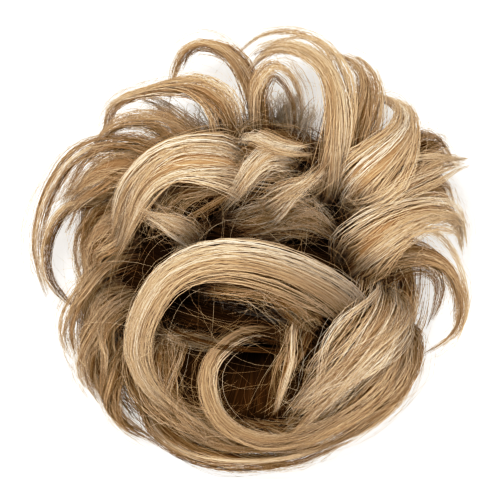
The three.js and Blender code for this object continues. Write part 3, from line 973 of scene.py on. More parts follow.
    def build(self, finishes: Finishes, seed: int) -> bpy.types.Object:
        """Builds and dresses the lock.

        Args:
            finishes: The materials of each slot.
            seed: The lock's own seed.

        Returns:
            The piece, which stands for the CAD node of the same name.
        """
        rng = np.random.default_rng(seed)
        lie = Lie.through(self.stations())
        weft = Weft()
        self.comb(lie, weft, rng)
        self.pack(lie, weft, rng)
        piece = weft.sew(f"{self.name}_strands", *finishes[self.slot])
        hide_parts(self.name)
        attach(piece, "root")
        return piece


# Each lock's tone is partly its own blond and partly painted light and shade: front_under_sweep,
# left_lower_sweep and well_tongue are set darker as painted shade of the well, and crown_under_lock,
# brow_tress and the two left_under_fan locks lighter as painted light where they lie in shade
LOCKS: list[Lock] = [
    Lock("front_sweep", 0.9, 1, 0.66, Fall.FULL, 0.62, [
        [0.45, -0.4, 0.5], [0.44, -0.25, 0.78], [0.31, -0.16, 0.9], [0.1, -0.07, 0.95],
        [-0.15, -0.04, 0.95], [-0.34, -0.11, 0.9], [-0.45, -0.25, 0.84], [-0.5, -0.42, 0.77],
        [-0.46, -0.57, 0.68], [-0.37, -0.67, 0.6], [-0.23, -0.75, 0.5],
    ]),
    Lock("left_bright_sweep", 1.1, 0.9, 0.62, Fall.FULL, 0.5, [
        [0.03, 0.24, 0.5], [-0.08, 0.4, 0.78], [-0.2, 0.41, 0.84], [-0.34, 0.38, 0.86],
        [-0.46, 0.29, 0.82], [-0.53, 0.17, 0.74], [-0.57, 0.06, 0.66], [-0.6, -0.01, 0.6],
    ]),
    Lock("crown_fan_bright", 0.75, 0.9, 0.62, Fall.FULL, 0.6, [
        [0.32, 0.16, 0.5], [0.38, 0.38, 0.82], [0.4, 0.62, 0.8], [0.35, 0.8, 0.7], [0.23, 0.9, 0.6],
        [0.11, 0.9, 0.52], [0.03, 0.84, 0.46],
    ]),
    Lock("right_fan_1", 1.1, 0.9, 0.6, Fall.FULL, 0.5, [
        [0.4, 0.2, 0.5], [0.5, 0.34, 0.84], [0.62, 0.44, 0.82], [0.7, 0.55, 0.7], [0.69, 0.64, 0.6],
        [0.61, 0.68, 0.5],
    ]),
    Lock("right_fan_3", 0.9, 0.9, 0.62, Fall.FULL, 0.6, [
        [0.42, 0.1, 0.44], [0.55, 0.22, 0.74], [0.7, 0.32, 0.72], [0.84, 0.38, 0.62], [0.94, 0.4, 0.5],
    ]),
    Lock("right_fan_5", 1, 0.9, 0.58, Fall.FULL, 0.6, [
        [0.42, -0.12, 0.5], [0.55, 0.02, 0.8], [0.7, 0.14, 0.76], [0.84, 0.17, 0.64], [0.93, 0.14, 0.52],
        [0.96, 0.06, 0.42],
    ]),
    Lock("right_fan_2", 1.2, 0.9, 0.38, Fall.FULL, 0.75, [
        [0.44, 0.2, 0.46], [0.6, 0.38, 0.64], [0.74, 0.44, 0.58], [0.85, 0.48, 0.48], [0.9, 0.44, 0.38],
    ]),
    Lock("right_fan_4", 1.1, 0.9, 0.4, Fall.FULL, 0.7, [
        [0.46, 0.04, 0.5], [0.62, 0.2, 0.68], [0.77, 0.28, 0.62], [0.87, 0.28, 0.5], [0.92, 0.2, 0.4],
    ]),
    Lock("crown_fan_edge", 0.8, 0.9, 0.54, Fall.FULL, 0.7, [
        [0.4, 0.22, 0.5], [0.46, 0.44, 0.68], [0.52, 0.62, 0.64], [0.53, 0.75, 0.56], [0.48, 0.84, 0.5],
        [0.4, 0.88, 0.44],
    ]),
    Lock("centre_tress", 0.45, 0.6, 0.7, Fall.WISP, 0.8, [
        [-0.04, 0.36, 0.5], [0, 0.5, 0.74], [0.1, 0.46, 0.82], [0.22, 0.43, 0.86], [0.33, 0.43, 0.86],
    ]),
    Lock("centre_curl", 0.55, 0.6, 0.76, Fall.TANGLED, 0.6, [
        [0.2, 0.34, 0.46], [0.16, 0.41, 0.72], [0.07, 0.41, 0.82], [0, 0.34, 0.84], [-0.05, 0.26, 0.8],
        [-0.1, 0.2, 0.74],
    ]),
    Lock("centre_cross", 0.55, 0.7, 0.7, Fall.TANGLED, 0.8, [
        [0.06, 0.12, 0.5], [0.1, 0.2, 0.76], [0.19, 0.27, 0.84], [0.28, 0.32, 0.87], [0.35, 0.38, 0.87],
    ]),
    Lock("inner_left_sweep", 1, 0.8, 0.47, Fall.LOOSE, 0.8, [
        [0.24, 0.34, 0.5], [0.14, 0.38, 0.7], [0, 0.36, 0.74], [-0.16, 0.31, 0.75], [-0.3, 0.24, 0.73],
        [-0.38, 0.12, 0.68],
    ]),
    Lock("left_tuck", 0.7, 0.7, 0.72, Fall.TANGLED, 0.75, [
        [-0.25, -0.04, 0.5], [-0.26, 0.06, 0.7], [-0.36, 0.13, 0.8], [-0.46, 0.17, 0.8],
    ]),
    Lock("brow_tress", 0.8, 0.8, 0.5, Fall.TANGLED, 0.8, [
        [-0.12, 0.04, 0.5], [0, 0.11, 0.68], [0.12, 0.14, 0.72], [0.26, 0.15, 0.72], [0.38, 0.08, 0.66],
    ]),
    Lock("upper_left_wave", 0.68, 0.9, 0.58, Fall.LOOSE, 0.7, [
        [-0.08, 0.32, 0.5], [-0.07, 0.54, 0.62], [-0.12, 0.66, 0.68], [-0.22, 0.72, 0.66],
        [-0.34, 0.725, 0.6], [-0.46, 0.7, 0.54], [-0.56, 0.67, 0.48], [-0.62, 0.62, 0.42],
        [-0.63, 0.56, 0.38],
    ]),
    Lock("left_wave_high", 0.55, 0.8, 0.52, Fall.WISP, 0.7, [
        [-0.2, 0.3, 0.5], [-0.25, 0.46, 0.6], [-0.34, 0.54, 0.58], [-0.45, 0.575, 0.54],
        [-0.56, 0.575, 0.48], [-0.64, 0.53, 0.42], [-0.68, 0.46, 0.36],
    ]),
    Lock("left_wave_cross", 0.8, 0.6, 0.52, Fall.WISP, 0.9, [
        [-0.14, 0.3, 0.36], [-0.2, 0.44, 0.44], [-0.28, 0.54, 0.44], [-0.37, 0.62, 0.42],
        [-0.46, 0.66, 0.38],
    ]),
    Lock("left_fan_mid", 1.35, 0.8, 0.52, Fall.LOOSE, 0.85, [
        [-0.28, 0.22, 0.5], [-0.44, 0.34, 0.62], [-0.6, 0.37, 0.56], [-0.74, 0.3, 0.48], [-0.82, 0.2, 0.4],
    ]),
    Lock("left_outer_wisp", 0.45, 0.6, 0.46, Fall.WISP, 0.6, [
        [-0.24, 0.3, 0.44], [-0.42, 0.44, 0.5], [-0.57, 0.475, 0.46], [-0.7, 0.465, 0.42],
        [-0.81, 0.4, 0.38], [-0.89, 0.29, 0.34], [-0.95, 0.15, 0.3], [-0.97, 0, 0.26],
        [-0.94, -0.13, 0.22],
    ]),
    Lock("left_hook", 0.35, 0.6, 0.5, Fall.WISP, 0.8, [
        [-0.36, 0.1, 0.5], [-0.6, 0.19, 0.5], [-0.79, 0.21, 0.42], [-0.88, 0.13, 0.38], [-0.925, 0, 0.34],
        [-0.91, -0.13, 0.3], [-0.82, -0.24, 0.25],
    ]),
    Lock("crown_loop_outer", 0.7, 0.8, 0.48, Fall.WISP, 0.8, [
        [0.3, 0.24, 0.46], [0.39, 0.53, 0.56], [0.42, 0.73, 0.56], [0.36, 0.87, 0.5], [0.23, 0.94, 0.46],
        [0.06, 0.94, 0.44], [-0.04, 0.87, 0.42],
    ]),
    Lock("crown_loop_inner", 0.45, 0.7, 0.48, Fall.WISP, 0.8, [
        [0.06, 0.36, 0.5], [0.03, 0.6, 0.6], [0.03, 0.74, 0.64], [0.1, 0.83, 0.6], [0.18, 0.79, 0.55],
        [0.23, 0.67, 0.49], [0.22, 0.54, 0.44],
    ]),
    Lock("crest_curl", 0.6, 0.7, 0.5, Fall.LOOSE, 1.15, [
        [0.04, 0.36, 0.4], [0.05, 0.54, 0.42], [0.01, 0.7, 0.44], [-0.045, 0.82, 0.46],
        [-0.12, 0.9, 0.47], [-0.2, 0.93, 0.46], [-0.27, 0.91, 0.43], [-0.31, 0.85, 0.4],
        [-0.34, 0.76, 0.36],
    ]),
    Lock("crown_under_lock", 1.2, 0.7, 0.95, Fall.LOOSE, 0.9, [
        [0.12, 0.38, 0.32], [0.15, 0.5, 0.34], [0.17, 0.6, 0.32], [0.17, 0.7, 0.28],
    ]),
    Lock("well_loop", 0.42, 0.9, 0.6, Fall.FULL, 1.45, [
        [0.24, -0.44, 0.42], [0.08, -0.37, 0.64], [-0.02, -0.37, 0.7], [-0.12, -0.43, 0.74],
        [-0.175, -0.5, 0.75], [-0.19, -0.59, 0.74], [-0.17, -0.68, 0.72], [-0.12, -0.76, 0.68],
        [-0.03, -0.82, 0.62], [0.08, -0.85, 0.56], [0.2, -0.84, 0.48], [0.32, -0.8, 0.4],
    ]),
    Lock("front_under_sweep", 0.9, 0.8, 0.42, Fall.LOOSE, 0.8, [
        [-0.24, -0.12, 0.5], [-0.12, -0.1, 0.78], [0.02, -0.14, 0.82], [0.16, -0.23, 0.82],
        [0.3, -0.34, 0.76],
    ]),
    Lock("well_tongue", 0.4, 0.6, 0.5, Fall.LOOSE, 0.6, [
        [0.34, -0.26, 0.5], [0.22, -0.34, 0.7], [0.19, -0.46, 0.74], [0.15, -0.58, 0.72],
        [0.125, -0.7, 0.66],
    ]),
    Lock("well_tuft", 0.35, 0.6, 0.6, Fall.TANGLED, 1.3, [
        [-0.42, -0.3, 0.5], [-0.36, -0.37, 0.6], [-0.27, -0.4, 0.62], [-0.18, -0.42, 0.62],
        [-0.11, -0.44, 0.6],
    ]),
    Lock("front_right_fan_1", 1.2, 1, 0.64, Fall.TANGLED, 0.9, [
        [0.66, -0.16, 0.4], [0.63, -0.26, 0.66], [0.5, -0.44, 0.76], [0.36, -0.6, 0.7], [0.22, -0.74, 0.6],
    ]),
    Lock("front_right_fan_2", 1.1, 0.9, 0.48, Fall.LOOSE, 0.9, [
        [0.6, -0.24, 0.36], [0.68, -0.38, 0.54], [0.62, -0.56, 0.58], [0.48, -0.7, 0.54],
        [0.3, -0.82, 0.44], [0.12, -0.88, 0.38],
    ]),
    Lock("right_loop", 0.6, 0.8, 0.5, Fall.LOOSE, 0.85, [
        [0.42, -0.16, 0.5], [0.52, -0.09, 0.66], [0.64, -0.01, 0.66], [0.77, 0, 0.58], [0.88, -0.05, 0.5],
        [0.95, -0.16, 0.42], [0.966, -0.28, 0.36], [0.93, -0.38, 0.3], [0.82, -0.46, 0.26],
    ]),
    Lock("right_loop_inner", 0.35, 0.6, 0.34, Fall.WISP, 0.8, [
        [0.48, -0.15, 0.46], [0.66, -0.09, 0.52], [0.79, -0.06, 0.46], [0.86, -0.11, 0.4],
        [0.87, -0.2, 0.34], [0.84, -0.29, 0.28],
    ]),
    Lock("front_right_hem", 1, 0.9, 0.42, Fall.LOOSE, 0.9, [
        [0.56, -0.3, 0.4], [0.72, -0.4, 0.44], [0.7, -0.6, 0.4], [0.54, -0.76, 0.35], [0.34, -0.87, 0.28],
    ]),
    Lock("left_lower_sweep", 1, 0.8, 0.33, Fall.TANGLED, 0.9, [
        [-0.28, -0.3, 0.5], [-0.4, -0.46, 0.62], [-0.38, -0.62, 0.56], [-0.25, -0.74, 0.48],
        [-0.08, -0.82, 0.4],
    ]),
    Lock("left_lower_loop", 0.6, 0.7, 0.54, Fall.WISP, 0.8, [
        [-0.44, -0.2, 0.46], [-0.57, -0.25, 0.54], [-0.67, -0.34, 0.48], [-0.735, -0.46, 0.4],
        [-0.74, -0.58, 0.32], [-0.68, -0.68, 0.24],
    ]),
    Lock("left_side_panel", 1, 0.8, 0.48, Fall.LOOSE, 0.9, [
        [-0.45, 0.04, 0.48], [-0.6, 0.1, 0.56], [-0.7, 0.02, 0.5], [-0.71, -0.12, 0.42],
        [-0.63, -0.2, 0.36],
    ]),
    Lock("left_side_curtain", 0.6, 0.8, 0.5, Fall.LOOSE, 0.8, [
        [-0.42, -0.02, 0.48], [-0.57, -0.05, 0.54], [-0.69, -0.12, 0.48], [-0.77, -0.25, 0.4],
        [-0.8, -0.4, 0.32], [-0.76, -0.53, 0.24],
    ]),
    Lock("left_lower_drop", 0.7, 0.8, 0.48, Fall.LOOSE, 0.9, [
        [-0.46, -0.34, 0.42], [-0.58, -0.5, 0.46], [-0.61, -0.66, 0.36], [-0.57, -0.77, 0.26],
        [-0.46, -0.85, 0.18],
    ]),
    Lock("left_under_fan_1", 1.5, 0.8, 0.5, Fall.LOOSE, 1, [
        [-0.4, -0.16, 0.4], [-0.6, -0.22, 0.4], [-0.68, -0.38, 0.34], [-0.68, -0.56, 0.26],
        [-0.58, -0.7, 0.18],
    ]),
    Lock("left_under_fan_2", 1.3, 0.8, 0.52, Fall.LOOSE, 1, [
        [-0.36, 0.12, 0.42], [-0.55, 0.24, 0.44], [-0.67, 0.18, 0.38], [-0.71, 0.02, 0.3],
        [-0.7, -0.16, 0.22],
    ]),
    Lock("front_hem", 1.05, 0.9, 0.42, Fall.LOOSE, 0.8, [
        [-0.4, -0.56, 0.3], [-0.43, -0.73, 0.34], [-0.3, -0.865, 0.34], [-0.06, -0.945, 0.32],
        [0.2, -0.945, 0.27], [0.42, -0.87, 0.22],
    ]),
]


@dataclass
class LowLocks:
    """The low locks round the outside of the ring."""

    count: int = 12
    sweep: float = 52.0
    width: float = 1.1
    depth: float = 0.8
    tone: float = 0.5
    shape: tuple[tuple[float, float], ...] = ((0.0, 0.55), (0.25, 0.6), (0.6, 0.4), (1.0, 0.2))

    def locks(self) -> list[Lock]:
        """Returns the low locks, each in its place round the ring."""
        made = []
        for index in range(self.count):
            route = []
            for turn, up in self.shape:
                angle = math.radians(index / self.count * 360 + turn * self.sweep)
                place = RING_AXIS + RING_OUTER * np.array([math.cos(angle), math.sin(angle), 0.0])
                place[2] = up * INNER_HEIGHT
                route.append(list(place))
            name = f"skirt_lock_{index + 1}"
            made.append(Lock(name, self.width, self.depth, self.tone, Fall.LOW, 1.0, route, ready=True))
        return made


@dataclass
class HollowLocks:
    """The locks that close the hollow over the hole, set dark as painted shade of the hollow."""

    count: int = 3
    width: float = 0.9
    depth: float = 0.6
    lean: float = -14.0
    # Painted shade: a dark tone, with the umber finish of the inner hair, for the shade of the hollow
    tone: float = 0.38
    shape: tuple[tuple[float, float], ...] = (
        (-1.0, 0.62), (-0.6, 1.1), (0.0, 1.15), (0.6, 1.14), (1.0, 1.08),
    )

    def locks(self) -> list[Lock]:
        """Returns the locks that lie across the hole."""
        made = []
        lean = math.radians(self.lean)
        pitch = 2 * HOLE_RADIUS / self.count
        for index in range(self.count):
            back = (index - (self.count - 1) / 2) * pitch
            route = []
            for across, up in self.shape:
                right = across * RING_MIDDLE
                route.append([
                    RING_AXIS[0] + right * math.cos(lean) - back * math.sin(lean),
                    RING_AXIS[1] + right * math.sin(lean) + back * math.cos(lean),
                    up * INNER_HEIGHT,
                ])
            name = f"hollow_lock_{index + 1}"
            made.append(
                Lock(
                    name, self.width, self.depth, self.tone, Fall.HOLLOW, 1.0, route,
                    slot="inner_hair", ready=True,
                )
            )
        return made


@dataclass(frozen=True)
class SpunRing:
    """A round tube spun with mesh operators, to be shaped by its angles.

    Attributes:
        sides: Sides round the tube.
        turns: Sections round the ring.
        radius: The tube's radius.
        middle: The ring's radius.
        merge: How near points are that are merged.
    """

    sides: int
    turns: int
    radius: float
    middle: float
    merge: float

    def spin(self) -> tuple[bmesh.types.BMesh, Array, Array]:
        """Returns the closed mesh, and each vertex's angle round the ring and round the tube."""
        ring = bmesh.new()
        bmesh.ops.create_circle(ring, cap_ends=False, segments=self.sides, radius=self.radius)
        upright = Matrix.Rotation(math.pi / 2, 3, "X")
        bmesh.ops.rotate(ring, verts=ring.verts, cent=(0, 0, 0), matrix=upright)
        bmesh.ops.translate(ring, verts=ring.verts, vec=(self.middle, 0.0, 0.0))
        bmesh.ops.spin(
            ring, geom=ring.verts[:] + ring.edges[:], cent=(0, 0, 0), axis=(0, 0, 1),
            dvec=(0, 0, 0), angle=2 * math.pi, steps=self.turns, use_merge=True,
        )
        bmesh.ops.remove_doubles(ring, verts=ring.verts, dist=self.merge)
        bmesh.ops.recalc_face_normals(ring, faces=ring.faces)
        co = np.array([v.co[:] for v in ring.verts])
        around = np.arctan2(co[:, 1], co[:, 0])
        return ring, around, np.arctan2(co[:, 2], np.hypot(co[:, 0], co[:, 1]) - self.middle)

    @staticmethod
    def shape(ring: bmesh.types.BMesh, places: Array) -> None:
        """Moves the vertices to their places."""
        for vertex, place in zip(ring.verts, places):
            vertex.co = place


def round_axis(out: Array, around: Array, up: Array) -> Array:
    """Returns places at distances, angles and heights round the ring's axis, in millimetres."""
    return np.stack([out * np.cos(around), out * np.sin(around), up], axis=-1) + RING_AXIS


@dataclass
class InnerHair:
    """The ring of packed hair, wound in strips round the band. Lengths are in millimetres."""

    strips: int = 12
    groove: float = 1.6
    groove_power: int = 6
    spun: SpunRing = SpunRing(sides=24, turns=144, radius=1.0, middle=4.0, merge=1e-5)
    shell_below: float = 0.5
    shell_tone: tuple[float, float] = (0.35, 0.03)
    map_size: tuple[float, float] = (0.99, 0.22)
    map_low: float = 0.01
    strands: int = 300
    strand_radius: float = 0.2
    strand_points: int = 12
    strand_tone: tuple[float, float] = (0.5, 0.16)
    first_turn: tuple[float, float] = (-2.6, -0.6)
    turn_reach: tuple[float, float] = (3.0, 5.2)
    drift: tuple[float, float] = (0.25, 0.08)
    lift: tuple[float, float] = (-0.4, 0.7)
    ripple: float = 0.25
    ripple_pace: float = 9.0
    ripple_shift: float = 5.0
    shell_along: float = 0.5
    strand_along: float = 0.4
    thickness: tuple[float, float] = (0.7, 1.1)
    taper: tuple[tuple[float, float], ...] = ((0.0, 0.4), (0.1, 1.0), (0.85, 1.0), (1.0, 0.3))

    def section(self, turn: Array, extra: Array) -> tuple[Array, Array]:
        """Returns how far out and up the ring's section lies at an angle, grown by extra."""
        side = np.sign(np.cos(turn)) * np.abs(np.cos(turn)) ** BOXINESS
        up = np.sign(np.sin(turn)) * np.abs(np.sin(turn)) ** BOXINESS
        out = RING_MIDDLE + (HALF_WIDTH + extra) * side
        return out, np.maximum(SECTION_MIDDLE + (HALF_HEIGHT + extra) * up, FLOOR_GAP)

    def sink(self, around: Array) -> Array:
        """Returns how deep the groove between two strips is at an angle round the ring."""
        return self.groove * np.abs(np.cos(around * self.strips / 2)) ** self.groove_power

    def shell(self, weft: Weft, rng: np.random.Generator) -> None:
        """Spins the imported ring.

        Args:
            weft: The mesh that takes it.
            rng: The seeded source of chance.
        """
        ring, around, turn = self.spun.spin()
        out, up = self.section(turn, -self.shell_below - self.sink(around))
        places = round_axis(out, around, up)
        self.spun.shape(ring, places)
        mean, spread = self.shell_tone
        tone = mean + rng.normal(0, spread, len(places))
        wide, high = self.map_size
        maps = np.stack([wide * share_of_turn(around), self.map_low + high * share_of_turn(turn)], axis=1)
        along = np.full(len(places), self.shell_along)
        values = np.stack([tone, along, painted_hollow_shade(places)], axis=1)
        weft.add_shell(ring, values, maps, (wide / self.spun.turns, high / self.spun.sides))

    def wind(self, weft: Weft, rng: np.random.Generator) -> None:
        """Winds strands round the ring.

        Args:
            weft: The mesh that takes them.
            rng: The seeded source of chance.
        """
        steps = np.linspace(0, 1, self.strand_points)[None, :]
        first = across_draws(rng, self.first_turn, self.strands)
        turn = first + across_draws(rng, self.turn_reach, self.strands) * steps
        around = across_draws(rng, (0, 2 * np.pi), self.strands)
        around = around + rng.normal(*self.drift, self.strands)[:, None] * steps
        lift = across_draws(rng, self.lift, self.strands)
        ripple = self.ripple * np.sin(steps * self.ripple_pace + first * self.ripple_shift)
        out, up = self.section(turn, lift - self.sink(around) + ripple)
        mean, spread = self.strand_tone
        tone = mean + rng.normal(0, spread, self.strands)
        thick = self.strand_radius * across_draws(rng, self.thickness, self.strands)
        radii = thick * profile(steps[0], self.taper)[None, :]
        along = np.full(turn.shape, self.strand_along)
        weft.add_strands(round_axis(out, around, up), radii, tone, along)

    def build(self, finishes: Finishes, seed: int) -> bpy.types.Object:
        """Builds and dresses the ring.

        Args:
            finishes: The materials of each slot.
            seed: The ring's own seed.

        Returns:
            The piece.
        """
        rng = np.random.default_rng(seed)
        weft = Weft()
        self.wind(weft, rng)
        self.shell(weft, rng)
        piece = weft.sew("inner_hair_wound", *finishes["inner_hair"])
        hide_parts("inner_hair")
        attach(piece, "root")
        return piece


@dataclass
class ElasticBand:
    """The covered elastic in the side of the hole."""

    spun: SpunRing = SpunRing(
        sides=20, turns=160, radius=BAND_THICKNESS / 2, middle=BAND_RADIUS, merge=1e-4
    )
    gathers: int = 40
    gather_depth: float = 0.22

    def build(self, finish: bpy.types.Material) -> bpy.types.Object:
        """Spins the band, and gathers its cover.

        Args:
            finish: The fabric.

        Returns:
            The piece.
        """
        band, around, turn = self.spun.spin()
        thick = BAND_THICKNESS / 2 - self.gather_depth * (0.5 + 0.5 * np.cos(around * self.gathers))
        out = BAND_RADIUS + thick * np.cos(turn)
        places = round_axis(out, around, BAND_HEIGHT + thick * np.sin(turn))
        self.spun.shape(band, places)
        weft = Weft()
        maps = np.stack([share_of_turn(around), share_of_turn(turn)], axis=1)
        wrap = (1 / self.spun.turns, 1 / self.spun.sides)
        weft.add_shell(band, np.full((len(places), 3), 0.5), maps, wrap, slot=0)
        piece = weft.sew("elastic_band_cover", finish)
        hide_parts("elastic_band")
        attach(piece, "root")
        return piece


@dataclass
class UnderHair:
    """Loose hair between the ring and the outer locks, which fills what shows between them.

    Angles are in degrees round the ring, lengths and heights in millimetres.
    """

    name: str = "loose_under_hair"
    count: int = 800
    radius: float = 0.13
    points: int = 10
    gathered: float = 0.5
    gathered_at: float = -98.0
    gathered_spread: float = 36.0
    sweep: tuple[float, float] = (15.0, 75.0)
    backward: float = 0.22
    reach: tuple[float, float] = (6.0, 16.0)
    high: tuple[float, float] = (16.0, 33.0)
    low: tuple[float, float] = (2.0, 20.0)
    inside: float = 3.0
    fall_power: float = 1.5
    sway: float = 0.8
    tone: float = 0.42
    mix: float = 0.16
    rooted: float = 0.15
    thickness: tuple[float, float] = (0.6, 1.25)
    taper: tuple[tuple[float, float], ...] = ((0.0, 0.5), (0.1, 1.0), (0.7, 0.9), (1.0, 0.3))

    def build(self, finishes: Finishes, seed: int) -> bpy.types.Object:
        """Sweeps strands out of the ring and round it.

        Args:
            finishes: The materials of each slot.
            seed: The seed.

        Returns:
            The piece.
        """
        rng = np.random.default_rng(seed)
        steps = np.linspace(0, 1, self.points)[None, :]
        first = rng.uniform(0, 2 * np.pi, self.count)
        placed = rng.random(self.count) < self.gathered
        gathered = rng.normal(self.gathered_at, self.gathered_spread, int(placed.sum()))
        first[placed] = np.radians(gathered)
        first = first[:, None]
        sweep = np.radians(across_draws(rng, self.sweep, self.count))
        sweep *= np.where(rng.random(self.count) < self.backward, -1.0, 1.0)[:, None]
        reach = across_draws(rng, self.reach, self.count)
        out = RING_OUTER - self.inside + reach * np.sin(np.pi / 2 * steps)
        out = out + self.sway * follow(wander(rng, self.count, 3), steps)
        high = across_draws(rng, self.high, self.count)
        low = across_draws(rng, self.low, self.count)
        up = high + (low - high) * steps**self.fall_power
        up = up + self.sway * follow(wander(rng, self.count, 3), steps)
        points = round_axis(out, first + sweep * steps, up)
        points[..., 2] = np.maximum(points[..., 2], FLOOR_GAP)
        thick = self.radius * across_draws(rng, self.thickness, self.count)
        radii = thick * profile(steps[0], self.taper)[None, :]
        tone = rng.normal(self.tone, self.mix, self.count)
        weft = Weft()
        along = np.broadcast_to(self.rooted + (1.0 - self.rooted) * steps, points.shape[:2])
        weft.add_strands(points, radii, tone, along, (0.0, 1.0))
        piece = weft.sew(self.name, finishes["outer_hair"][0])
        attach(piece, "root")
        return piece


# Painted light: the crown hair is set pale, for hair lit through from behind while it lies in shade
CROWN_HAIR = UnderHair(
    name="loose_crown_hair", count=330, radius=0.12, points=8, gathered=1.0, gathered_at=112.0,
    gathered_spread=25.0, sweep=(0.0, 12.0), backward=0.3, reach=(12.0, 25.0), high=(20.0, 28.0),
    low=(14.0, 23.0), sway=0.5, tone=0.92, rooted=0.42,
)


@dataclass
class Flyaways:
    """Fine single hairs that have come loose: strays, tufts of frizz, and hairs that cross over the bun.

    Lengths are in millimetres, angles in radians.
    """

    strays: int = 600
    crossing: int = 190
    tufts: int = 760
    tuft_hairs: int = 4
    radius: float = 0.041
    points: int = 12
    frizz_points: int = 6
    margin: float = 2.5
    headroom: float = 4.0
    tone: tuple[float, float] = (0.3, 0.86)
    along: float = 0.5
    thickness: tuple[float, float] = (0.6, 1.2)
    taper: tuple[tuple[float, float], ...] = ((0.0, 0.5), (0.2, 1.0), (0.7, 0.9), (1.0, 0.4))
    stray_start: tuple[float, float] = (0.1, 0.6)
    stray_end: tuple[float, float] = (0.85, 1.15)
    stray_rise: tuple[float, float] = (0.5, 3.5)
    stray_bow: tuple[float, float] = (0.5, 1.0)
    stray_ripple: float = 1.0
    stray_pace: tuple[float, float] = (3.0, 9.0)
    stray_off: float = 2.5
    stray_aside: float = 3.5
    stray_place: float = 3.0
    tuft_share: tuple[float, float] = (0.12, 0.98)
    tuft_step: float = 0.02
    tuft_place: float = 1.1
    tuft_spread: float = 0.16
    tuft_lean: float = 0.5
    tuft_curl: float = 1.6
    hair_off: tuple[float, float] = (-0.2, 1.4)
    hair_lean: float = 0.25
    hair_curl: float = 0.8
    hair_length: tuple[float, float] = (6.0, 19.0)
    hair_rise: tuple[float, float] = (0.2, 2.2)
    hair_sunk: float = 0.5
    cross_reach: float = 62.0
    cross_length: tuple[float, float] = (18.0, 60.0)
    cross_heading: float = 0.55
    cross_bend: tuple[float, float] = (0.6, 0.9)
    cross_sway: float = 0.8
    cross_sunk: tuple[float, float] = (0.0, 14.0)

    def from_locks(self, locks: list[Lock], rng: np.random.Generator) -> Array:
        """Lets hairs stray from the locks.

        Args:
            locks: The locks that they leave.
            rng: The seeded source of chance.

        Returns:
            Their points, in millimetres.
        """
        lies = [Lie.through(lock.stations()) for lock in locks]
        steps = np.linspace(0, 1, self.points)
        lines = []
        for _ in range(self.strays):
            lie = lies[rng.integers(len(lies))]
            start = rng.uniform(*self.stray_start)
            share = start + (rng.uniform(*self.stray_end) - start) * steps
            rise = rng.uniform(*self.stray_rise)
            out = rise * np.sin(np.pi * np.clip(steps * rng.uniform(*self.stray_bow), 0, 1))
            aside = rng.normal(0, self.stray_aside) * steps
            aside = aside + rng.normal(0, self.stray_ripple) * np.sin(steps * rng.uniform(*self.stray_pace))
            lines.append(
                lie.at(share, lie.centre)
                + lie.at(share, lie.depth) * (out + self.stray_off)[:, None]
                + lie.at(share, lie.across) * (aside + rng.normal(0, self.stray_place))[:, None]
            )
        return np.array(lines)

    def off_locks(self, locks: list[Lock], rng: np.random.Generator) -> Array:
        """Lets tufts of short hairs stand off the locks' faces, at an angle to the other strands.

        Args:
            locks: The locks that they leave.
            rng: The seeded source of chance.

        Returns:
            Their points, in millimetres.
        """
        steps = np.linspace(-0.5, 0.5, self.frizz_points)
        weight = np.array([lock.width * COMBINGS[lock.fall].frizz for lock in locks])
        chosen = rng.choice(len(locks), self.tufts, p=weight / weight.sum())
        lies = [Lie.through(lock.stations()) for lock in locks]
        lines = []
        for index in chosen:
            lie = lies[index]
            share = np.full(1, rng.uniform(*self.tuft_share))
            half_width, half_depth = locks[index].half_sizes(share)
            after = lie.at(share + self.tuft_step, lie.centre)
            ahead = unit(after - lie.at(share - self.tuft_step, lie.centre))[0]
            across = lie.at(share, lie.across)[0]
            out = lie.at(share, lie.depth)[0]
            middle = lie.at(share, lie.centre)[0]
            place = rng.uniform(-self.tuft_place, self.tuft_place)
            lean = rng.normal(0.0, self.tuft_lean)
            curl = rng.normal(0.0, self.tuft_curl)
            for _ in range(self.tuft_hairs):
                aside = place + rng.normal(0.0, self.tuft_spread)
                off = half_depth[0] * math.sqrt(max(0.0, 1.0 - aside**2)) + rng.uniform(*self.hair_off)
                turn = lean + rng.normal(0.0, self.hair_lean)
                turn = turn + (curl + rng.normal(0.0, self.hair_curl)) * steps
                length = rng.uniform(*self.hair_length)
                rise = rng.uniform(*self.hair_rise) * (1.0 - 4.0 * steps**2) - self.hair_sunk
                lines.append(
                    middle + across * half_width[0] * aside + out * off
                    + (length * steps * np.cos(turn))[:, None] * ahead
                    + (length * steps * np.sin(turn))[:, None] * across
                    + rise[:, None] * out
                )
        return np.array(lines)

    def over_bun(self, rng: np.random.Generator) -> Array:
        """Lets hairs cross over the bun.

        Args:
            rng: The seeded source of chance.

        Returns:
            Their points, in millimetres.
        """
        steps = np.linspace(-0.5, 0.5, self.points)[None, :]
        angle = rng.uniform(0, 2 * np.pi, self.crossing)
        out = self.cross_reach * np.sqrt(rng.uniform(0.0, 1.0, self.crossing))
        heading = angle + np.pi / 2 + rng.normal(0, self.cross_heading, self.crossing)
        length = across_draws(rng, self.cross_length, self.crossing)
        aim = heading[:, None] + rng.normal(*self.cross_bend, self.crossing)[:, None] * steps
        right = (out * np.cos(angle))[:, None] + length * steps * np.cos(aim)
        back = (out * np.sin(angle))[:, None] + length * steps * np.sin(aim)
        right = right + self.cross_sway * follow(wander(rng, self.crossing, 3), steps + 0.5)
        back = back + self.cross_sway * follow(wander(rng, self.crossing, 3), steps + 0.5)
        sunk = across_draws(rng, self.cross_sunk, self.crossing)
        up = dome_height(np.hypot(right, back) / BUN_RADIUS) - sunk
        up = up + self.cross_sway * follow(wander(rng, self.crossing, 2), steps + 0.5)
        return np.stack([right, back, up], axis=-1) + BUN_MIDDLE

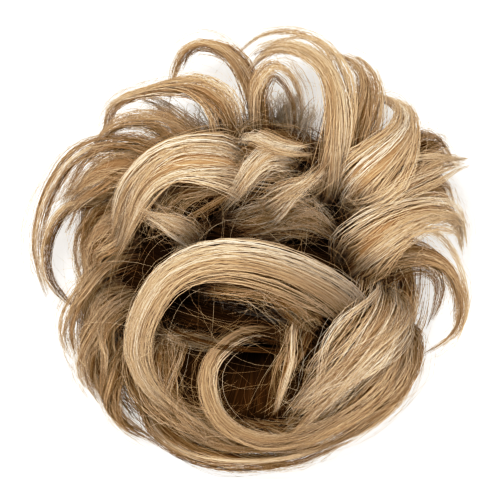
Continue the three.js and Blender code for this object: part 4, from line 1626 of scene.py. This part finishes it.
    def lay(self, weft: Weft, points: Array, rng: np.random.Generator) -> None:
        """Adds fine hairs, held inside the bun's outline and over the table.

        Args:
            weft: The mesh that takes them.
            points: Their points, in millimetres.
            rng: The seeded source of chance.
        """
        away = points - BUN_MIDDLE
        reach = np.linalg.norm(away[..., :2], axis=-1, keepdims=True)
        limit = BUN_RADIUS + self.margin
        squeeze = np.where(reach > limit, limit / np.maximum(reach, 1e-6), 1.0)
        points[..., :2] = BUN_MIDDLE[:2] + away[..., :2] * squeeze
        points[..., 2] = np.clip(points[..., 2], FLOOR_GAP, BUN_HEIGHT + self.headroom)
        steps = np.linspace(0, 1, points.shape[1])
        thick = self.radius * across_draws(rng, self.thickness, len(points))
        tone = rng.uniform(*self.tone, len(points))
        along = np.full(points.shape[:2], self.along)
        weft.add_strands(points, thick * profile(steps, self.taper)[None, :], tone, along, (0.0, 1.0))

    def build(self, locks: list[Lock], finishes: Finishes, seed: int) -> bpy.types.Object:
        """Makes the fine hairs.

        Args:
            locks: The locks that some of them leave.
            finishes: The materials of each slot.
            seed: The seed.

        Returns:
            The piece.
        """
        rng = np.random.default_rng(seed)
        weft = Weft()
        self.lay(weft, self.from_locks(locks, rng), rng)
        self.lay(weft, self.over_bun(rng), rng)
        self.lay(weft, self.off_locks(locks, rng), rng)
        piece = weft.sew("flyaway_hairs", finishes["outer_hair"][0])
        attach(piece, "root")
        return piece


@dataclass(frozen=True)
class Lamp:
    """A square soft light that faces the bun. Its place and side are in metres, its power in watts."""

    name: str
    place: Colour
    size: float
    power: float
    colour: Colour = (1.0, 1.0, 1.0)
    aimed_height: float = 0.03

    def build(self) -> None:
        """Hangs the light."""
        data = bpy.data.lights.new(self.name, "AREA")
        data.shape = "SQUARE"
        data.size = self.size
        data.energy = self.power
        data.color = self.colour
        lamp = bpy.data.objects.new(self.name, data)
        lamp.location = self.place
        aim = Vector((0.0, 0.0, self.aimed_height)) - Vector(self.place)
        lamp.rotation_mode = "QUATERNION"
        lamp.rotation_quaternion = aim.to_track_quat("-Z", "Y")
        bpy.context.scene.collection.objects.link(lamp)


@dataclass
class Studio:
    """The pale floor, the soft lights and the camera over the bun. Lengths are in metres."""

    camera_height: float = 1.5
    view_width: float = 0.169
    view_level: float = 0.03
    aim: tuple[float, float] = (-0.0009, 0.0007)
    floor_half: float = 4.0
    floor_cells: int = 8
    sensor_width: float = 36.0
    clip_end: float = 20.0
    lamps: tuple[Lamp, ...] = (
        Lamp("key light", (-0.35, 0.4, 1.15), 0.5, 18.0, (1.0, 0.99, 0.97)),
        Lamp("fill light", (0.65, -0.3, 1.0), 0.8, 9.0),
        Lamp("front light", (-0.2, -0.8, 0.8), 0.8, 4.0),
    )
    room_colour: Colour = (1.0, 0.92, 0.8)
    room_strength: float = 0.35
    contrast: tuple[tuple[float, float], ...] = (
        (0.02, 0.006), (0.05, 0.022), (0.12, 0.08), (0.25, 0.2), (0.5, 0.49), (0.7, 0.73),
    )

    def camera(self) -> None:
        """Sets the camera straight over the bun, at the photograph's angle."""
        data = bpy.data.cameras.new("camera")
        data.sensor_width = self.sensor_width
        data.lens = data.sensor_width * (self.camera_height - self.view_level) / self.view_width
        data.clip_end = self.clip_end
        camera = bpy.data.objects.new("camera", data)
        camera.location = (*self.aim, self.camera_height)
        bpy.context.scene.collection.objects.link(camera)
        bpy.context.scene.camera = camera

    def develop(self) -> None:
        """Gives the picture a camera's contrast, which deepens the browns of shaded hair."""
        view = bpy.context.scene.view_settings
        view.view_transform = "Standard"
        view.use_curve_mapping = True
        points = view.curve_mapping.curves[3].points
        for seen, shown in self.contrast:
            points.new(seen, shown)
        view.curve_mapping.update()

    def build(self) -> None:
        """Builds the floor, the lights, the world and the camera."""
        sheet = bmesh.new()
        cells = self.floor_cells
        bmesh.ops.create_grid(sheet, x_segments=cells, y_segments=cells, size=self.floor_half)
        mesh = bpy.data.meshes.new("floor")
        sheet.to_mesh(mesh)
        sheet.free()
        mesh.materials.append(FloorFinish().make())
        floor = bpy.data.objects.new("floor", mesh)
        bpy.context.scene.collection.objects.link(floor)
        for lamp in self.lamps:
            lamp.build()
        world = bpy.data.worlds.new("soft room")
        world.use_nodes = True
        background = world.node_tree.nodes["Background"]
        background.inputs["Color"].default_value = (*self.room_colour, 1.0)
        background.inputs["Strength"].default_value = self.room_strength
        bpy.context.scene.world = world
        self.develop()
        self.camera()


def log_triangles(pieces: list[bpy.types.Object]) -> None:
    """Logs how many triangles each piece has, and all of them."""
    total = 0
    for piece in pieces:
        triangles = sum(len(polygon.vertices) - 2 for polygon in piece.data.polygons)
        total += triangles
        LOG.info("%s: %d triangles", piece.name, triangles)
    LOG.info("in all: %d triangles", total)


def main() -> None:
    """Builds the studio and every piece."""
    logging.basicConfig(level=logging.INFO, format="%(message)s")
    Studio().build()
    finishes = {
        "outer_hair": (OUTER_HAIR.make(), OUTER_CORE.make()),
        "inner_hair": (SHADED_INNER_HAIR.make(), SHADED_INNER_CORE.make()),
    }
    pieces = [
        ElasticBand().build(ElasticFinish().make()),
        InnerHair().build(finishes, seed=11),
    ]
    locks = LOCKS + HollowLocks().locks() + LowLocks().locks()
    for index, lock in enumerate(locks):
        pieces.append(lock.build(finishes, seed=100 + index))
    pieces.append(UnderHair().build(finishes, seed=5))
    pieces.append(CROWN_HAIR.build(finishes, seed=6))
    pieces.append(Flyaways().build(LOCKS, finishes, seed=7))
    log_triangles(pieces)


if __name__ == "__main__":
    main()
